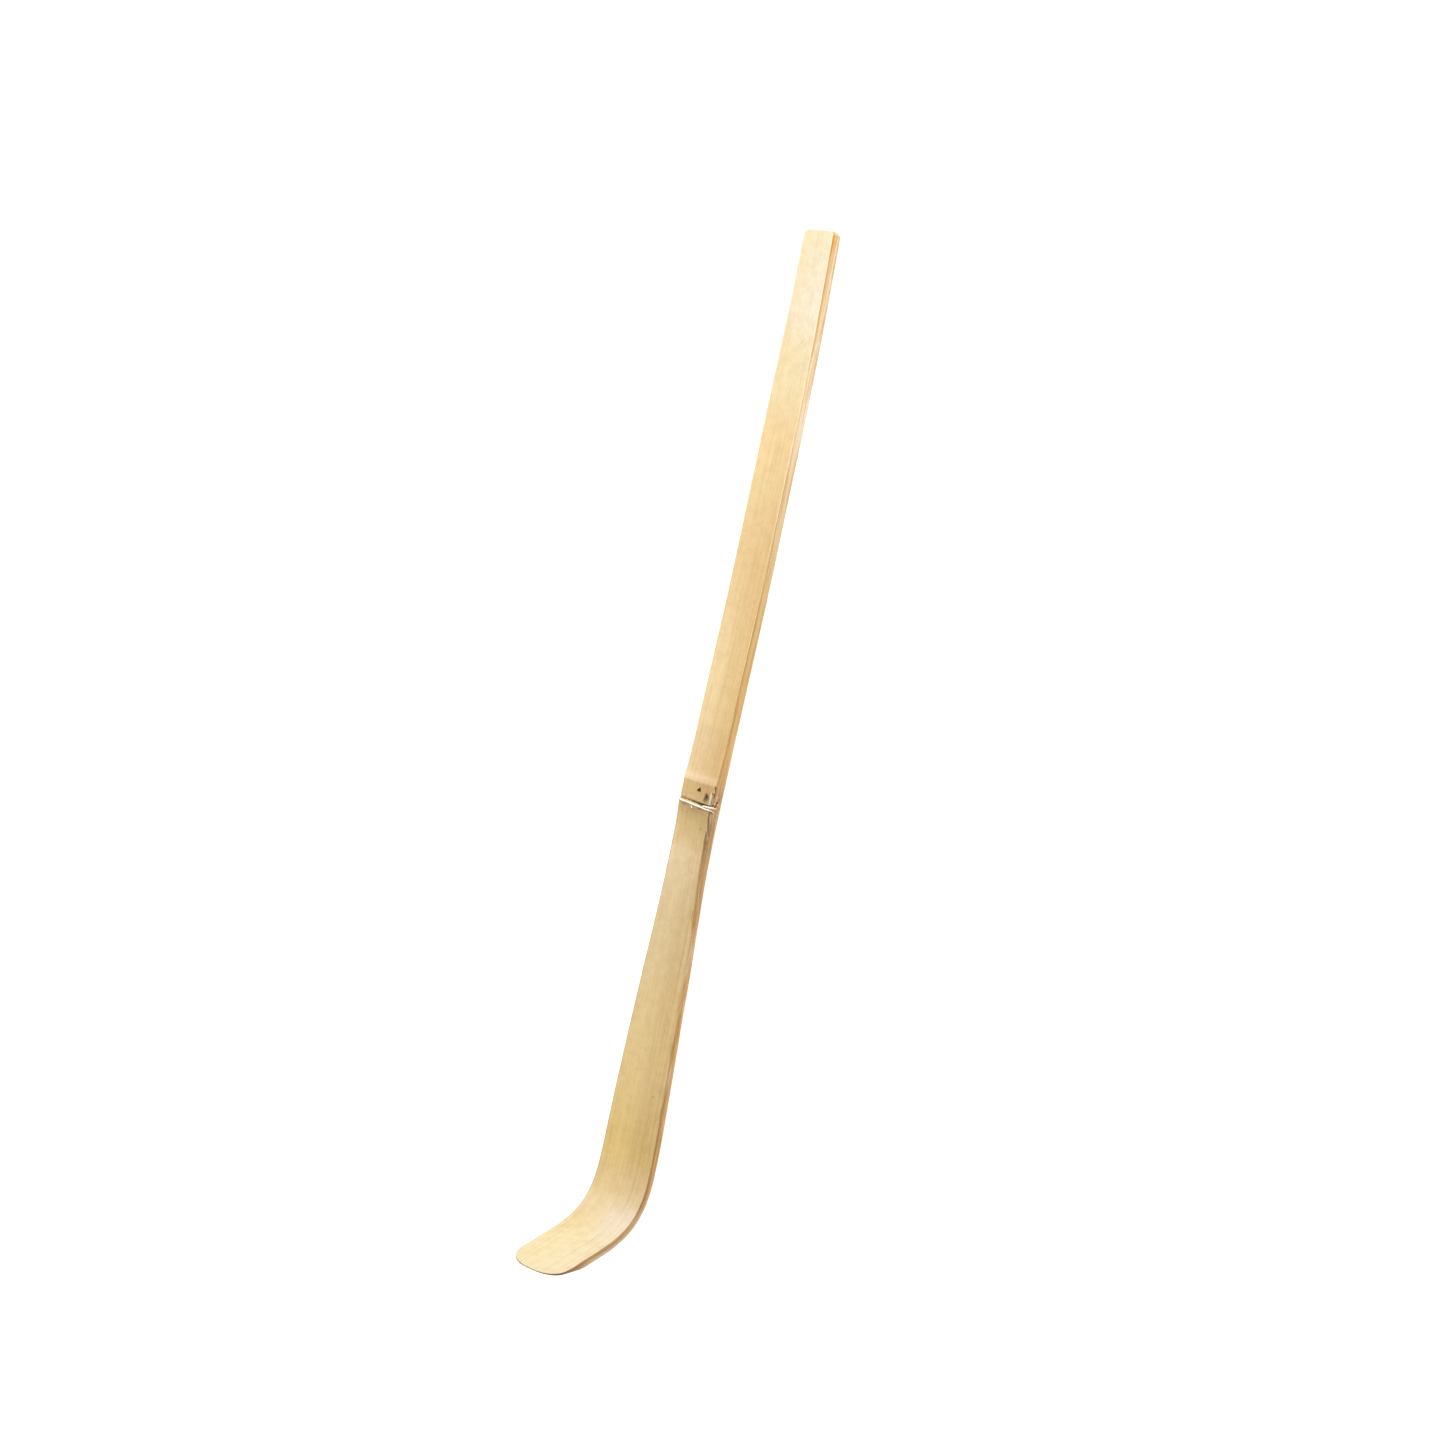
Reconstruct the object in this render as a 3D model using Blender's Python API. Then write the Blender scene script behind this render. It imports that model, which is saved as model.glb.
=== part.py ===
"""Bamboo tea scoop: one split of bamboo, planed flat behind and bent up at the tip.

X runs from the scoop's tip (-X) to the handle's end (+X). Z is up, and the culm's outer skin faces up.
The origin is on the surface that the scoop lies on, under the middle of its bounding box.
Sizes are in millimetres. A station is a distance along the planed back from the handle's end. A row is the
station of one cross-section on the middle line, and v runs across the strip from -1 at -Y to 1 at +Y.
"""

import math

import bmesh
import bpy
from mathutils import Vector

MM = 0.001

# Lengths along the back
HANDLE_LENGTH = 95.2  # handle's end to the crest above the node
NODE_BAND = 3.7  # crest to the sheath scar, on the middle line
BLADE_LENGTH = 61.5  # sheath scar to the start of the bend
BEND_LENGTH = 22.9
TIP_LENGTH = 10.0  # end of the bend to the tip's edge
BEND_ANGLE = math.radians(69.5)
BEND_EVENNESS = 0.2  # share of the angle that is spread evenly, while the rest gathers at the bend's middle

# Widths of the split
END_WIDTH = 6.1
HANDLE_WIDTH = 6.9
NODE_WIDTH = 7.05
MID_BLADE_WIDTH = 9.3
BLADE_WIDTH = 11.25  # at the start of the bend
TIP_WIDTH = 11.6  # at the end of the bend

# Thickness at the edges of the face
END_THICKNESS = 2.5
HANDLE_THICKNESS = 2.3
NODE_THICKNESS = 2.5
BLADE_THICKNESS = 1.6
TIP_THICKNESS = 1.4
TIP_EDGE = 0.5  # what the underside's bevel leaves at the tip
TIP_BEVEL = 3.0  # length of that bevel

# The back touches the table along the handle and again before the bend
END_LIFT = 0.6  # the handle's end curls up this much
END_CURL = 22.0  # over this length
ARCH_RISE = 0.8  # the back is relieved this much under the node
ARCH_START = 64.0

# Cross-section
CROWN = 0.15  # the handle's face is rounded like the culm
HOLLOW = 0.32  # the scoop's face is dished
EDGE_CHAMFER = 0.2
BACK_CHAMFER = 0.35
END_BEVEL = 0.25

# Plan shape of the two ends
END_SLANT = 0.5  # the end is cut slightly askew, longest on the -Y side
END_CORNER = 0.7  # how far the end's corners fall back
END_CORNER_SHARE = 0.4  # share of the half width that the corner takes
END_BLEND = 4.0  # the rows are square across again after this length
TIP_CORNER = 3.6
TIP_ROUNDNESS = 2.5  # 2 is an ellipse, more is squarer
TIP_BLEND = 12.0  # the rows start to bow this far before the tip

# Natural relief of the node on the face
CREST_HEIGHT = 0.42
CREST_RUN = 8.0  # the face swells up to the crest over this length
CREST_DROP = 0.14
CREST_STEP = 0.6  # length of that drop
SCAR_WIDTH = 1.0  # groove that the leaf sheath left
SCAR_DEPTH = 0.2
SCAR_SLANT = 0.06  # the scar runs this much along the strip for each unit across it
SHOULDER_HEIGHT = 0.5
SHOULDER_RUN = 5.0  # the face settles to the blade over this length

# What is left of the leaf sheath and the bud, lying on the face
FIBRE_RADIUS = 0.16
FORK_RADIUS = 0.1
FORK_LENGTH = 1.4
FORK_SPREAD = 0.35  # how far the fork's end stands off from the strand
CURL_RADIUS = 0.08
CURL_SIZE = 0.5
CURL_TURN = math.radians(170)
CURL_LIFT = 0.12
CURL_PLACE = 0.15  # share of the half width, towards +Y
SCALE_LENGTH = 2.2
SCALE_WIDTH = 0.55
SCALE_THICKNESS = 0.15
REST_GAP = 0.08  # clearance between a remnant and what it lies on

# How finely the strip is divided
COLUMNS = 8
COLUMN_PLACES = [math.sin(math.pi * (0.5 - j / COLUMNS)) for j in range(COLUMNS + 1)]
PLAIN_ROW = 5.0  # the longest row on a straight stretch
CURVED_ROW = 1.5
FINE_ROW = 0.6
LAYOUT_STEP = 0.25  # step of the back's line

CREST_AT = HANDLE_LENGTH
SCAR_AT = CREST_AT + NODE_BAND
LIP_AT = SCAR_AT + SCAR_WIDTH / 2
SHOULDER_END = LIP_AT + SHOULDER_RUN
BEND_AT = SCAR_AT + BLADE_LENGTH
BEND_END = BEND_AT + BEND_LENGTH
STRIP_LENGTH = BEND_END + TIP_LENGTH


def through(stations, at):
    """A smooth value that passes through each (station, value) and never overshoots between two of them."""
    if at <= stations[0][0]:
        return stations[0][1]
    if at >= stations[-1][0]:
        return stations[-1][1]
    slopes = [(b[1] - a[1]) / (b[0] - a[0]) for a, b in zip(stations, stations[1:])]

    def tangent(i):
        if i == 0 or i == len(stations) - 1:
            return 0.0
        before, after = slopes[i - 1], slopes[i]
        return 2 * before * after / (before + after) if before * after > 0 else 0.0

    i = next(k for k, s in enumerate(stations[1:]) if at <= s[0])
    (s0, v0), (s1, v1) = stations[i], stations[i + 1]
    span = s1 - s0
    t = (at - s0) / span
    rise = v0 * (2 * t**3 - 3 * t**2 + 1) + v1 * (3 * t**2 - 2 * t**3)
    return rise + span * (tangent(i) * (t**3 - 2 * t**2 + t) + tangent(i + 1) * (t**3 - t**2))


def share(at, start, end):
    """0 before start, 1 after end, and straight between them."""
    return min(1.0, max(0.0, (at - start) / (end - start)))


def even_shares(count):
    """Evenly spaced values from 0 to 1."""
    return [i / (count - 1) for i in range(count)]


def eased(at, start, end):
    """0 before start, 1 after end, and level at both."""
    t = share(at, start, end)
    return t * t * (3 - 2 * t)


def width_at(station):
    return through(
        (
            (0.0, END_WIDTH),
            (0.35 * HANDLE_LENGTH, HANDLE_WIDTH),
            (SHOULDER_END, NODE_WIDTH),
            ((SCAR_AT + BEND_AT) / 2, MID_BLADE_WIDTH),
            (BEND_AT, BLADE_WIDTH),
            (BEND_END, TIP_WIDTH),
        ),
        station,
    )


def thickness_at(station):
    return through(
        (
            (0.0, END_THICKNESS),
            (0.5 * HANDLE_LENGTH, HANDLE_THICKNESS),
            (SCAR_AT, NODE_THICKNESS),
            (SCAR_AT + 0.45 * BLADE_LENGTH, BLADE_THICKNESS),
            (BEND_AT, BLADE_THICKNESS),
            (BEND_END, TIP_THICKNESS),
        ),
        station,
    )


def bend_angle_at(station):
    """How far the strip has turned up: the curvature rises and falls as one smooth wave."""
    t = share(station, BEND_AT, BEND_END)
    return BEND_ANGLE * (t - (1 - BEND_EVENNESS) * math.sin(2 * math.pi * t) / (2 * math.pi))


def back_height_at(station):
    """How far the back is above the table before the bend."""
    curl = END_LIFT * (1 - share(station, 0.0, END_CURL)) ** 2
    arch = ARCH_RISE * math.sin(math.pi * share(station, ARCH_START, BEND_AT))
    return curl + arch


def lay_out_back():
    """The back's line as (station, x, z), with x falling from 0 at the handle's end."""
    line = [(0.0, 0.0, 0.0)]
    steps = math.ceil(STRIP_LENGTH / LAYOUT_STEP)
    step = STRIP_LENGTH / steps
    for i in range(steps):
        station, x, z = line[-1]
        turned = bend_angle_at(station + step / 2)
        line.append((station + step, x - step * math.cos(turned), z + step * math.sin(turned)))
    return line


BACK_LINE = lay_out_back()


def back_point(station):
    """(x, z) of the back at a station."""
    step = BACK_LINE[1][0]
    i = min(int(station / step), len(BACK_LINE) - 2)
    (s0, x0, z0), (_, x1, z1) = BACK_LINE[i], BACK_LINE[i + 1]
    t = (station - s0) / step
    return x0 + t * (x1 - x0), z0 + t * (z1 - z0) + back_height_at(station)


def tip_relief(station):
    """How far the underside's bevel has cut into the tip."""
    cut = thickness_at(station) - TIP_EDGE
    return cut * share(station, STRIP_LENGTH - TIP_BEVEL, STRIP_LENGTH) ** 1.5


def fall_back_at_end(v):
    """How far the handle's end is cut back at v."""
    inside = share(abs(v), 1 - END_CORNER_SHARE, 1.0)
    return END_SLANT * (1 + v) / 2 + END_CORNER * (1 - math.sqrt(1 - inside**2))


def fall_back_at_tip(v):
    return TIP_CORNER * (1 - (1 - abs(v) ** TIP_ROUNDNESS) ** (1 / TIP_ROUNDNESS))


def tip_reach():
    """The x of the underside's furthest row, within the tip's bevel."""
    bevel_rows = [STRIP_LENGTH - TIP_BEVEL * t for t in even_shares(6)]
    return min(back_point(row)[0] + tip_relief(row) * math.sin(BEND_ANGLE) for row in bevel_rows)


MIDDLE = (tip_reach() - min(fall_back_at_end(v) for v in COLUMN_PLACES)) / 2


def point_at(station, across, height):
    """The row's point, in metres, at a station, a distance across (+Y) and a height above the back."""
    x, z = back_point(station)
    turned = bend_angle_at(station)
    return MM * Vector((x - MIDDLE + height * math.sin(turned), across, z + height * math.cos(turned)))


def node_relief(row):
    """The swelling above the node, the groove of the sheath scar and the shoulder below it."""
    if row <= CREST_AT:
        return CREST_HEIGHT * share(row, CREST_AT - CREST_RUN, CREST_AT) ** 2
    band = CREST_HEIGHT - CREST_DROP * share(row, CREST_AT, CREST_AT + CREST_STEP)
    if row <= SCAR_AT:
        return band - SCAR_DEPTH * share(row, SCAR_AT - SCAR_WIDTH / 2, SCAR_AT)
    bottom = band - SCAR_DEPTH
    if row <= LIP_AT:
        return bottom + (SHOULDER_HEIGHT - bottom) * share(row, SCAR_AT, LIP_AT)
    return SHOULDER_HEIGHT * (1 - share(row, LIP_AT, SHOULDER_END)) ** 2


def station_of(row, v):
    """A row's station at v: rows follow the outline of the end nearest them, and the scar's slant."""
    from_end = fall_back_at_end(v) * (1 - share(row, 0.0, END_BLEND)) ** 2
    from_tip = fall_back_at_tip(v) * share(row, STRIP_LENGTH - TIP_BLEND, STRIP_LENGTH) ** 2
    slanted = eased(row, CREST_AT, SCAR_AT - SCAR_WIDTH) * (1 - eased(row, LIP_AT, SHOULDER_END))
    return row + from_end - from_tip - slanted * SCAR_SLANT * v * NODE_WIDTH / 2


def across_at(row, v, inset=0.0):
    """The distance across (+Y) at v, for an outline that is drawn in from the strip's sides."""
    return v * (width_at(station_of(row, v)) / 2 - inset)


def face_height(row, v):
    """Height of the face above the back: crowned on the handle, dished in the scoop."""
    station = station_of(row, v)
    crown = CROWN - (CROWN + HOLLOW) * eased(station, SHOULDER_END, BEND_END)
    return thickness_at(station) + crown * (1 - v * v) + node_relief(row)


def ring_at(row):
    """One cross-section, as points that run over the face from +Y to -Y and back under the strip."""
    bevel = END_BEVEL * (1 - share(row, 0.0, END_BEVEL))
    lifted = bevel + tip_relief(row)
    face, back = [], []
    for v in COLUMN_PLACES:
        station = station_of(row, v)
        face.append(point_at(station, across_at(row, v, EDGE_CHAMFER), face_height(row, v) - bevel))
        back.append(point_at(station, across_at(row, v, BACK_CHAMFER), lifted))
    sides = []
    for v in (-1, 1):
        station = station_of(row, v)
        top = face_height(row, v) - bevel - EDGE_CHAMFER
        low = lifted + (top - lifted) * BACK_CHAMFER / thickness_at(station)
        sides.append([point_at(station, across_at(row, v), height) for height in (top, low)])
    (near_top, near_low), (far_top, far_low) = sides
    return [*face, near_top, near_low, *reversed(back), far_low, far_top]


def row_stations():
    """The rows, with each stretch divided evenly: short at the node, the bend and both ends."""
    runs = (
        (0.0, END_BEVEL, END_BEVEL),
        (END_BEVEL, END_BLEND, FINE_ROW),
        (END_BLEND, END_CURL, PLAIN_ROW),
        (END_CURL, ARCH_START, ARCH_START - END_CURL),
        (ARCH_START, CREST_AT - CREST_RUN, PLAIN_ROW),
        (CREST_AT - CREST_RUN, CREST_AT, CURVED_ROW),
        (CREST_AT, CREST_AT + CREST_STEP, CREST_STEP),
        (CREST_AT + CREST_STEP, SCAR_AT - SCAR_WIDTH / 2, CURVED_ROW),
        (SCAR_AT - SCAR_WIDTH / 2, SCAR_AT, SCAR_WIDTH),
        (SCAR_AT, LIP_AT, SCAR_WIDTH),
        (LIP_AT, SHOULDER_END, CURVED_ROW / 2),
        (SHOULDER_END, BEND_AT, PLAIN_ROW),
        (BEND_AT, STRIP_LENGTH - TIP_BEVEL, CURVED_ROW),
        (STRIP_LENGTH - TIP_BEVEL, STRIP_LENGTH, FINE_ROW),
    )
    stations = [0.0]
    for start, end, longest in runs:
        count = max(1, math.ceil((end - start) / longest - 1e-6))
        stations += [start + (end - start) * (i + 1) / count for i in range(count)]
    return stations


def material(name, colour, roughness):
    made = bpy.data.materials.new(name)
    made.use_nodes = True
    shader = made.node_tree.nodes["Principled BSDF"]
    shader.inputs["Base Color"].default_value = (*colour, 1.0)
    shader.inputs["Roughness"].default_value = roughness
    shader.inputs["Metallic"].default_value = 0.0
    return made


def add_object(name, data, finish):
    made = bpy.data.objects.new(name, data)
    bpy.context.scene.collection.objects.link(made)
    data.materials.append(finish)
    return made


def build_strip(finish):
    """The split of bamboo, lofted through its cross-sections and closed at both ends."""
    shape = bmesh.new()
    rings = [[shape.verts.new(point) for point in ring_at(row)] for row in row_stations()]
    count = len(rings[0])
    for one, two in zip(rings, rings[1:]):
        for j in range(count):
            k = (j + 1) % count
            shape.faces.new((one[j], two[j], two[k], one[k]))
    for ring, outward in ((rings[0], 1), (rings[-1], -1)):
        face, back = ring[: COLUMNS + 1], ring[COLUMNS + 3 : 2 * COLUMNS + 4][::-1]
        near_top, near_low = ring[COLUMNS + 1 : COLUMNS + 3]
        far_low, far_top = ring[2 * COLUMNS + 4 :]
        walls = [(face[j], face[j + 1], back[j + 1], back[j]) for j in range(COLUMNS)]
        walls += [(face[-1], near_top, near_low, back[-1]), (far_top, face[0], back[0], far_low)]
        for wall in walls:
            shape.faces.new(wall[::outward])
    bmesh.ops.recalc_face_normals(shape, faces=shape.faces)
    mesh = bpy.data.meshes.new("bamboo_strip")
    shape.to_mesh(mesh)
    shape.free()
    mesh.shade_smooth()
    mesh.set_sharp_from_angle(angle=math.radians(30))
    return add_object("bamboo_strip", mesh, finish)


def build_fibre(name, route, radius, finish):
    """A fibre of the dry sheath. Its route lists (row, v, height above the face, share of the radius)."""
    curve = bpy.data.curves.new(name, "CURVE")
    curve.dimensions = "3D"
    curve.bevel_depth = radius * MM
    curve.bevel_resolution = 1
    curve.use_fill_caps = True
    line = curve.splines.new("POLY")
    line.points.add(len(route) - 1)
    for point, (row, v, lift, thin) in zip(line.points, route):
        height = face_height(row, v) + REST_GAP + radius + lift
        point.co = (*point_at(station_of(row, v), across_at(row, v, EDGE_CHAMFER), height), 1.0)
        point.radius = thin
    return add_object(name, curve, finish)


def build_sheath_remnants(finish):
    """The strand that follows the scar's lip, the short one that forks from it and a loose curl."""
    strand_row = LIP_AT + FIBRE_RADIUS / 2
    strand = [(strand_row, v, 0.0, 1 - 0.4 * v * v) for v in COLUMN_PLACES]
    build_fibre("sheath_fibre", strand, FIBRE_RADIUS, finish)

    fork_start = strand_row - FIBRE_RADIUS - FORK_RADIUS - REST_GAP
    fork = []
    for t in even_shares(6):
        row = fork_start - t * FORK_SPREAD
        v = -1 + (1 - t) * FORK_LENGTH / (NODE_WIDTH / 2)
        fork.append((row, v, SHOULDER_HEIGHT + FIBRE_RADIUS - node_relief(row), 1 - 0.5 * t))
    build_fibre("sheath_fork", fork, FORK_RADIUS, finish)

    curl_start = strand_row + FIBRE_RADIUS + CURL_RADIUS + REST_GAP
    curl = []
    for t in even_shares(9):
        turn = CURL_TURN * t
        v = CURL_PLACE - CURL_SIZE * (1 - math.cos(turn)) / NODE_WIDTH
        curl.append((curl_start + CURL_SIZE * math.sin(turn), v, CURL_LIFT * t, 1 - 0.5 * t))
    build_fibre("sheath_curl", curl, CURL_RADIUS, finish)


def build_bud_scale(finish):
    """The dry scale of the bud beside the node: a leaf-shaped flake that lies along the strip."""
    shape = bmesh.new()
    centre = -(across_at(SCAR_AT, 1, EDGE_CHAMFER) - SCALE_WIDTH)
    top_row = SCAR_AT - SCAR_WIDTH / 2 - REST_GAP - SCALE_LENGTH
    rings = []
    for t in even_shares(7):
        row = top_row + t * SCALE_LENGTH
        half = SCALE_WIDTH / 2 * (0.3 + 0.7 * math.sin(math.pi * (0.12 + 0.76 * t)))
        ring = []
        for side, top in ((half, 0), (half, 1), (-half, 1), (-half, 0)):
            v = (centre + side) / across_at(row, 1, EDGE_CHAMFER)
            height = face_height(row, v) + REST_GAP + top * SCALE_THICKNESS
            ring.append(shape.verts.new(point_at(station_of(row, v), centre + side, height)))
        rings.append(ring)
    for one, two in zip(rings, rings[1:]):
        for j in range(4):
            k = (j + 1) % 4
            shape.faces.new((one[j], one[k], two[k], two[j]))
    shape.faces.new(rings[0][::-1])
    shape.faces.new(rings[-1])
    bmesh.ops.recalc_face_normals(shape, faces=shape.faces)
    mesh = bpy.data.meshes.new("bud_scale")
    shape.to_mesh(mesh)
    shape.free()
    return add_object("bud_scale", mesh, finish)


def main():
    for old in list(bpy.data.objects):
        bpy.data.objects.remove(old)
    build_strip(material("bamboo", (0.74, 0.56, 0.31), 0.42))
    build_sheath_remnants(material("dry_sheath", (0.86, 0.78, 0.63), 0.65))
    build_bud_scale(material("dry_bud_scale", (0.72, 0.66, 0.45), 0.6))


main()
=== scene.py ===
import math

import bmesh
import bpy
from mathutils import Euler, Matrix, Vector, noise


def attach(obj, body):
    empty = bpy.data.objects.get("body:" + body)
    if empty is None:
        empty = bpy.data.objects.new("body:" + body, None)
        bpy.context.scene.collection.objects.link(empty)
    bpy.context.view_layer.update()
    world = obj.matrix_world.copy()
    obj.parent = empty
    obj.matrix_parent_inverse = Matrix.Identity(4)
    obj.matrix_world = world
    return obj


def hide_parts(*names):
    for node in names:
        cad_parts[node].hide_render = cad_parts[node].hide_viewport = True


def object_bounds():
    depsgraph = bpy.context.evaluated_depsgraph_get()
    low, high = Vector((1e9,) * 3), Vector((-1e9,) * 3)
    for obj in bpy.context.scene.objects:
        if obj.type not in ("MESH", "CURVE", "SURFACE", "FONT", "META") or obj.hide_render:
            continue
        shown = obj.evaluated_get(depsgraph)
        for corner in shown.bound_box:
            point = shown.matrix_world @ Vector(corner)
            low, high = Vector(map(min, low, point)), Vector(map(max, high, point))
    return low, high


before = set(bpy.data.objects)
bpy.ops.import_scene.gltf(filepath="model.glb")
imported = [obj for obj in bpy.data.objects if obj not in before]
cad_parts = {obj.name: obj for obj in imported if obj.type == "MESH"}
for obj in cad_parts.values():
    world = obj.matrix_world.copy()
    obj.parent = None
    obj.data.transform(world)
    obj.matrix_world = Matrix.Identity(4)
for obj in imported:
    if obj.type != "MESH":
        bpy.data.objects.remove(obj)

# A bamboo tea scoop lying on its back, skin up, with the bent tip at -X. Lengths are in millimetres.
# A station runs along the back from the handle's end, v runs across from -1 (at -Y) to 1 (at +Y),
# and depth is measured down from the skin.
cadLow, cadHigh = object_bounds()
mm = 0.001
scene = bpy.context.scene


def share(at, start, end):
    return min(1.0, max(0.0, (at - start) / (end - start)))


def eased(at, start, end):
    t = share(at, start, end)
    return t * t * (3 - 2 * t)


# 1 at the middle, 0 a reach away from it.
def bump(at, middle, reach):
    return 1 - eased(abs(at - middle), 0.0, reach)


def evenShares(count):
    return [i / (count - 1) for i in range(count)]


# A smooth random value from about -1 to 1 that is the same at each run.
def wander(x, y=0.0, z=0.0):
    return noise.noise(Vector((x, y, z)))


# Layers of wander along one way: weight, waves per unit and seed of each.
def wavesAlong(layers, at, side=1):
    return sum(weight * wander(at * rate, side * seed) for weight, rate, seed in layers)


# The same over a surface: weight, waves per unit along and across, and seed of each.
def wavesOver(layers, along, across, side=1):
    return sum(
        weight * wander(along * alongRate, across * acrossRate, side * seed)
        for weight, alongRate, acrossRate, seed in layers
    )


# A smooth value through (station, value) stops that never overshoots between two of them.
def through(stops, at):
    if at <= stops[0][0]:
        return stops[0][1]
    if at >= stops[-1][0]:
        return stops[-1][1]
    i = next(k for k in range(len(stops) - 1) if at <= stops[k + 1][0])
    slope = [(b[1] - a[1]) / (b[0] - a[0]) for a, b in zip(stops, stops[1:])]

    def lean(k):
        if k == 0 or k == len(stops) - 1 or slope[k - 1] * slope[k] <= 0:
            return 0.0
        return 2 * slope[k - 1] * slope[k] / (slope[k - 1] + slope[k])

    span = stops[i + 1][0] - stops[i][0]
    t = (at - stops[i][0]) / span
    level = stops[i][1] * (2 * t**3 - 3 * t**2 + 1) + stops[i + 1][1] * (3 * t**2 - 2 * t**3)
    return level + span * (lean(i) * (t**3 - 2 * t**2 + t) + lean(i + 1) * (t**3 - t**2))


# Links a mesh that rides on the scoop and stands for the CAD nodes named.
def addPiece(name, mesh, finishes, slotName, *nodes):
    piece = bpy.data.objects.new(name, mesh)
    scene.collection.objects.link(piece)
    for finish in finishes:
        mesh.materials.append(finish)
    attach(piece, "root")
    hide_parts(*nodes)


# Turns a built shape into a smooth mesh whose faces point outwards.
def meshFrom(shape, name):
    bmesh.ops.recalc_face_normals(shape, faces=shape.faces)
    mesh = bpy.data.meshes.new(name)
    shape.to_mesh(mesh)
    shape.free()
    mesh.shade_smooth()
    return mesh


# Walls between rings of points, and a cap over each end.
def closeTube(shape, rings):
    count = len(rings[0])
    for one, two in zip(rings, rings[1:]):
        for j in range(count):
            k = (j + 1) % count
            shape.faces.new((one[j], one[k], two[k], two[j]))
    shape.faces.new(rings[0][::-1])
    shape.faces.new(rings[-1])


view = {
    "place": (66.46, -337.79, 465.63),
    "turn": (2.756, 36.350, -75.105),  # degrees
    "lens": 84.7,
    "sensorWidth": 36.0,
    "clip": (0.01, 50.0),  # metres
}
light = {
    # each panel: place and aim in metres, width and height, watts, tint
    "panels": {
        "keyPanel": ((0.46, 0.03, 0.50), (0.02, 0.0, 0.0), (0.55, 0.45), 4.5, (1.0, 0.985, 0.96)),
        "sheenPanel": ((0.37, 0.67, 0.13), (-0.07, 0.0, 0.01), (0.30, 0.22), 1.7, (1.0, 0.98, 1.0)),
    },
    "sky": {"Color": (1.0, 1.0, 1.0, 1.0), "Strength": 0.72},
}
# the table is lit from within as well, so that its shadows stay faint
table = {
    "side": 6.0,  # metres
    "below": 0.02,
    "finish": {
        "Base Color": (0.42, 0.42, 0.418, 1.0),
        "Roughness": 0.8,
        "Specular IOR Level": 0.1,
        "Emission Color": (1.0, 1.0, 1.0, 1.0),
        "Emission Strength": 0.77,
    },
}


def setConstants(node, values):
    for label, value in values.items():
        node.inputs[label].default_value = value


def setUpCamera():
    data = bpy.data.cameras.new("studioCamera")
    data.sensor_width = view["sensorWidth"]
    data.lens = view["lens"]
    data.clip_start, data.clip_end = view["clip"]
    camera = bpy.data.objects.new("studioCamera", data)
    camera.location = Vector(view["place"]) * mm
    camera.rotation_euler = Euler([math.radians(a) for a in view["turn"]])
    scene.collection.objects.link(camera)
    scene.camera = camera
    scene.view_settings.view_transform = "Standard"


def setUpLight():
    for name, (place, aim, (width, height), power, tint) in light["panels"].items():
        data = bpy.data.lights.new(name, "AREA")
        data.shape = "RECTANGLE"
        data.size = width
        data.size_y = height
        data.energy = power
        data.color = tint
        panel = bpy.data.objects.new(name, data)
        panel.location = place
        panel.rotation_euler = (Vector(aim) - Vector(place)).to_track_quat("-Z", "Y").to_euler()
        scene.collection.objects.link(panel)
    sky = bpy.data.worlds.new("softSky")
    sky.use_nodes = True
    setConstants(sky.node_tree.nodes["Background"], light["sky"])
    scene.world = sky


def setUpTable():
    half = table["side"] / 2
    height = -table["below"] * mm
    corners = [(x, y, height) for x, y in ((-half, -half), (half, -half), (half, half), (-half, half))]
    mesh = bpy.data.meshes.new("paleTable")
    mesh.from_pydata(corners, [], [(0, 1, 2, 3)])
    top = bpy.data.objects.new("paleTable", mesh)
    scene.collection.objects.link(top)
    finish = bpy.data.materials.new("paleTable")
    finish.use_nodes = True
    setConstants(finish.node_tree.nodes["Principled BSDF"], table["finish"])
    mesh.materials.append(finish)


setUpCamera()
setUpLight()
setUpTable()
print("camera, light and table are set")


strip = {
    "handleLength": 95.2,  # handle's end to the crest above the node
    "nodeBand": 3.7,  # crest to the sheath scar
    "bladeLength": 61.5,  # scar to the start of the bend
    "bendLength": 22.9,
    "tipLength": 10.0,
    "bendAngle": math.radians(69.5),
    "bendEvenness": 0.2,
    "fullWidthShare": 0.35,  # of the handle, where it reaches its width
    "slimShare": 0.5,  # of the handle, where it is as thin as it gets
    "bladeSlimShare": 0.45,  # of the blade, likewise
    "endWidth": 6.1,
    "handleWidth": 6.9,
    "nodeWidth": 7.05,
    "midBladeWidth": 9.3,
    "bladeWidth": 11.25,
    "tipWidth": 11.6,
    "endThickness": 2.5,
    "handleThickness": 2.3,
    "nodeThickness": 2.5,
    "bladeThickness": 1.6,
    "tipThickness": 1.4,
    "tipEdge": 0.5,
    "tipBevel": 3.0,
    "tipBevelPower": 1.5,
    "endLift": 0.6,
    "endCurl": 22.0,
    "archRise": 0.8,
    "archStart": 64.0,
    "crown": 0.15,
    "hollow": 0.32,
    "edgeRound": 0.2,
    "backRound": 0.35,
    "mostRound": 0.45,  # of the thickness, for a rounded edge
    "endBevel": 0.25,
    "endSlant": 0.5,
    "endCorner": 0.7,
    "endCornerShare": 0.4,
    "endBlend": 4.0,
    "tipCorner": 3.6,
    "tipRoundness": 2.5,
    "tipBlend": 12.0,
    "scarWidth": 1.0,
    "scarSlant": 0.06,
    "shoulderRun": 5.0,
    "sharpAngle": math.radians(38),
    # fineness of the mesh
    "faceColumns": 44,
    "edgeCrowding": 0.35,  # how much closer the columns are near the edges
    "sideWalls": 13,
    "edgeSteps": 4,
    "layoutStep": 0.25,
}
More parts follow.
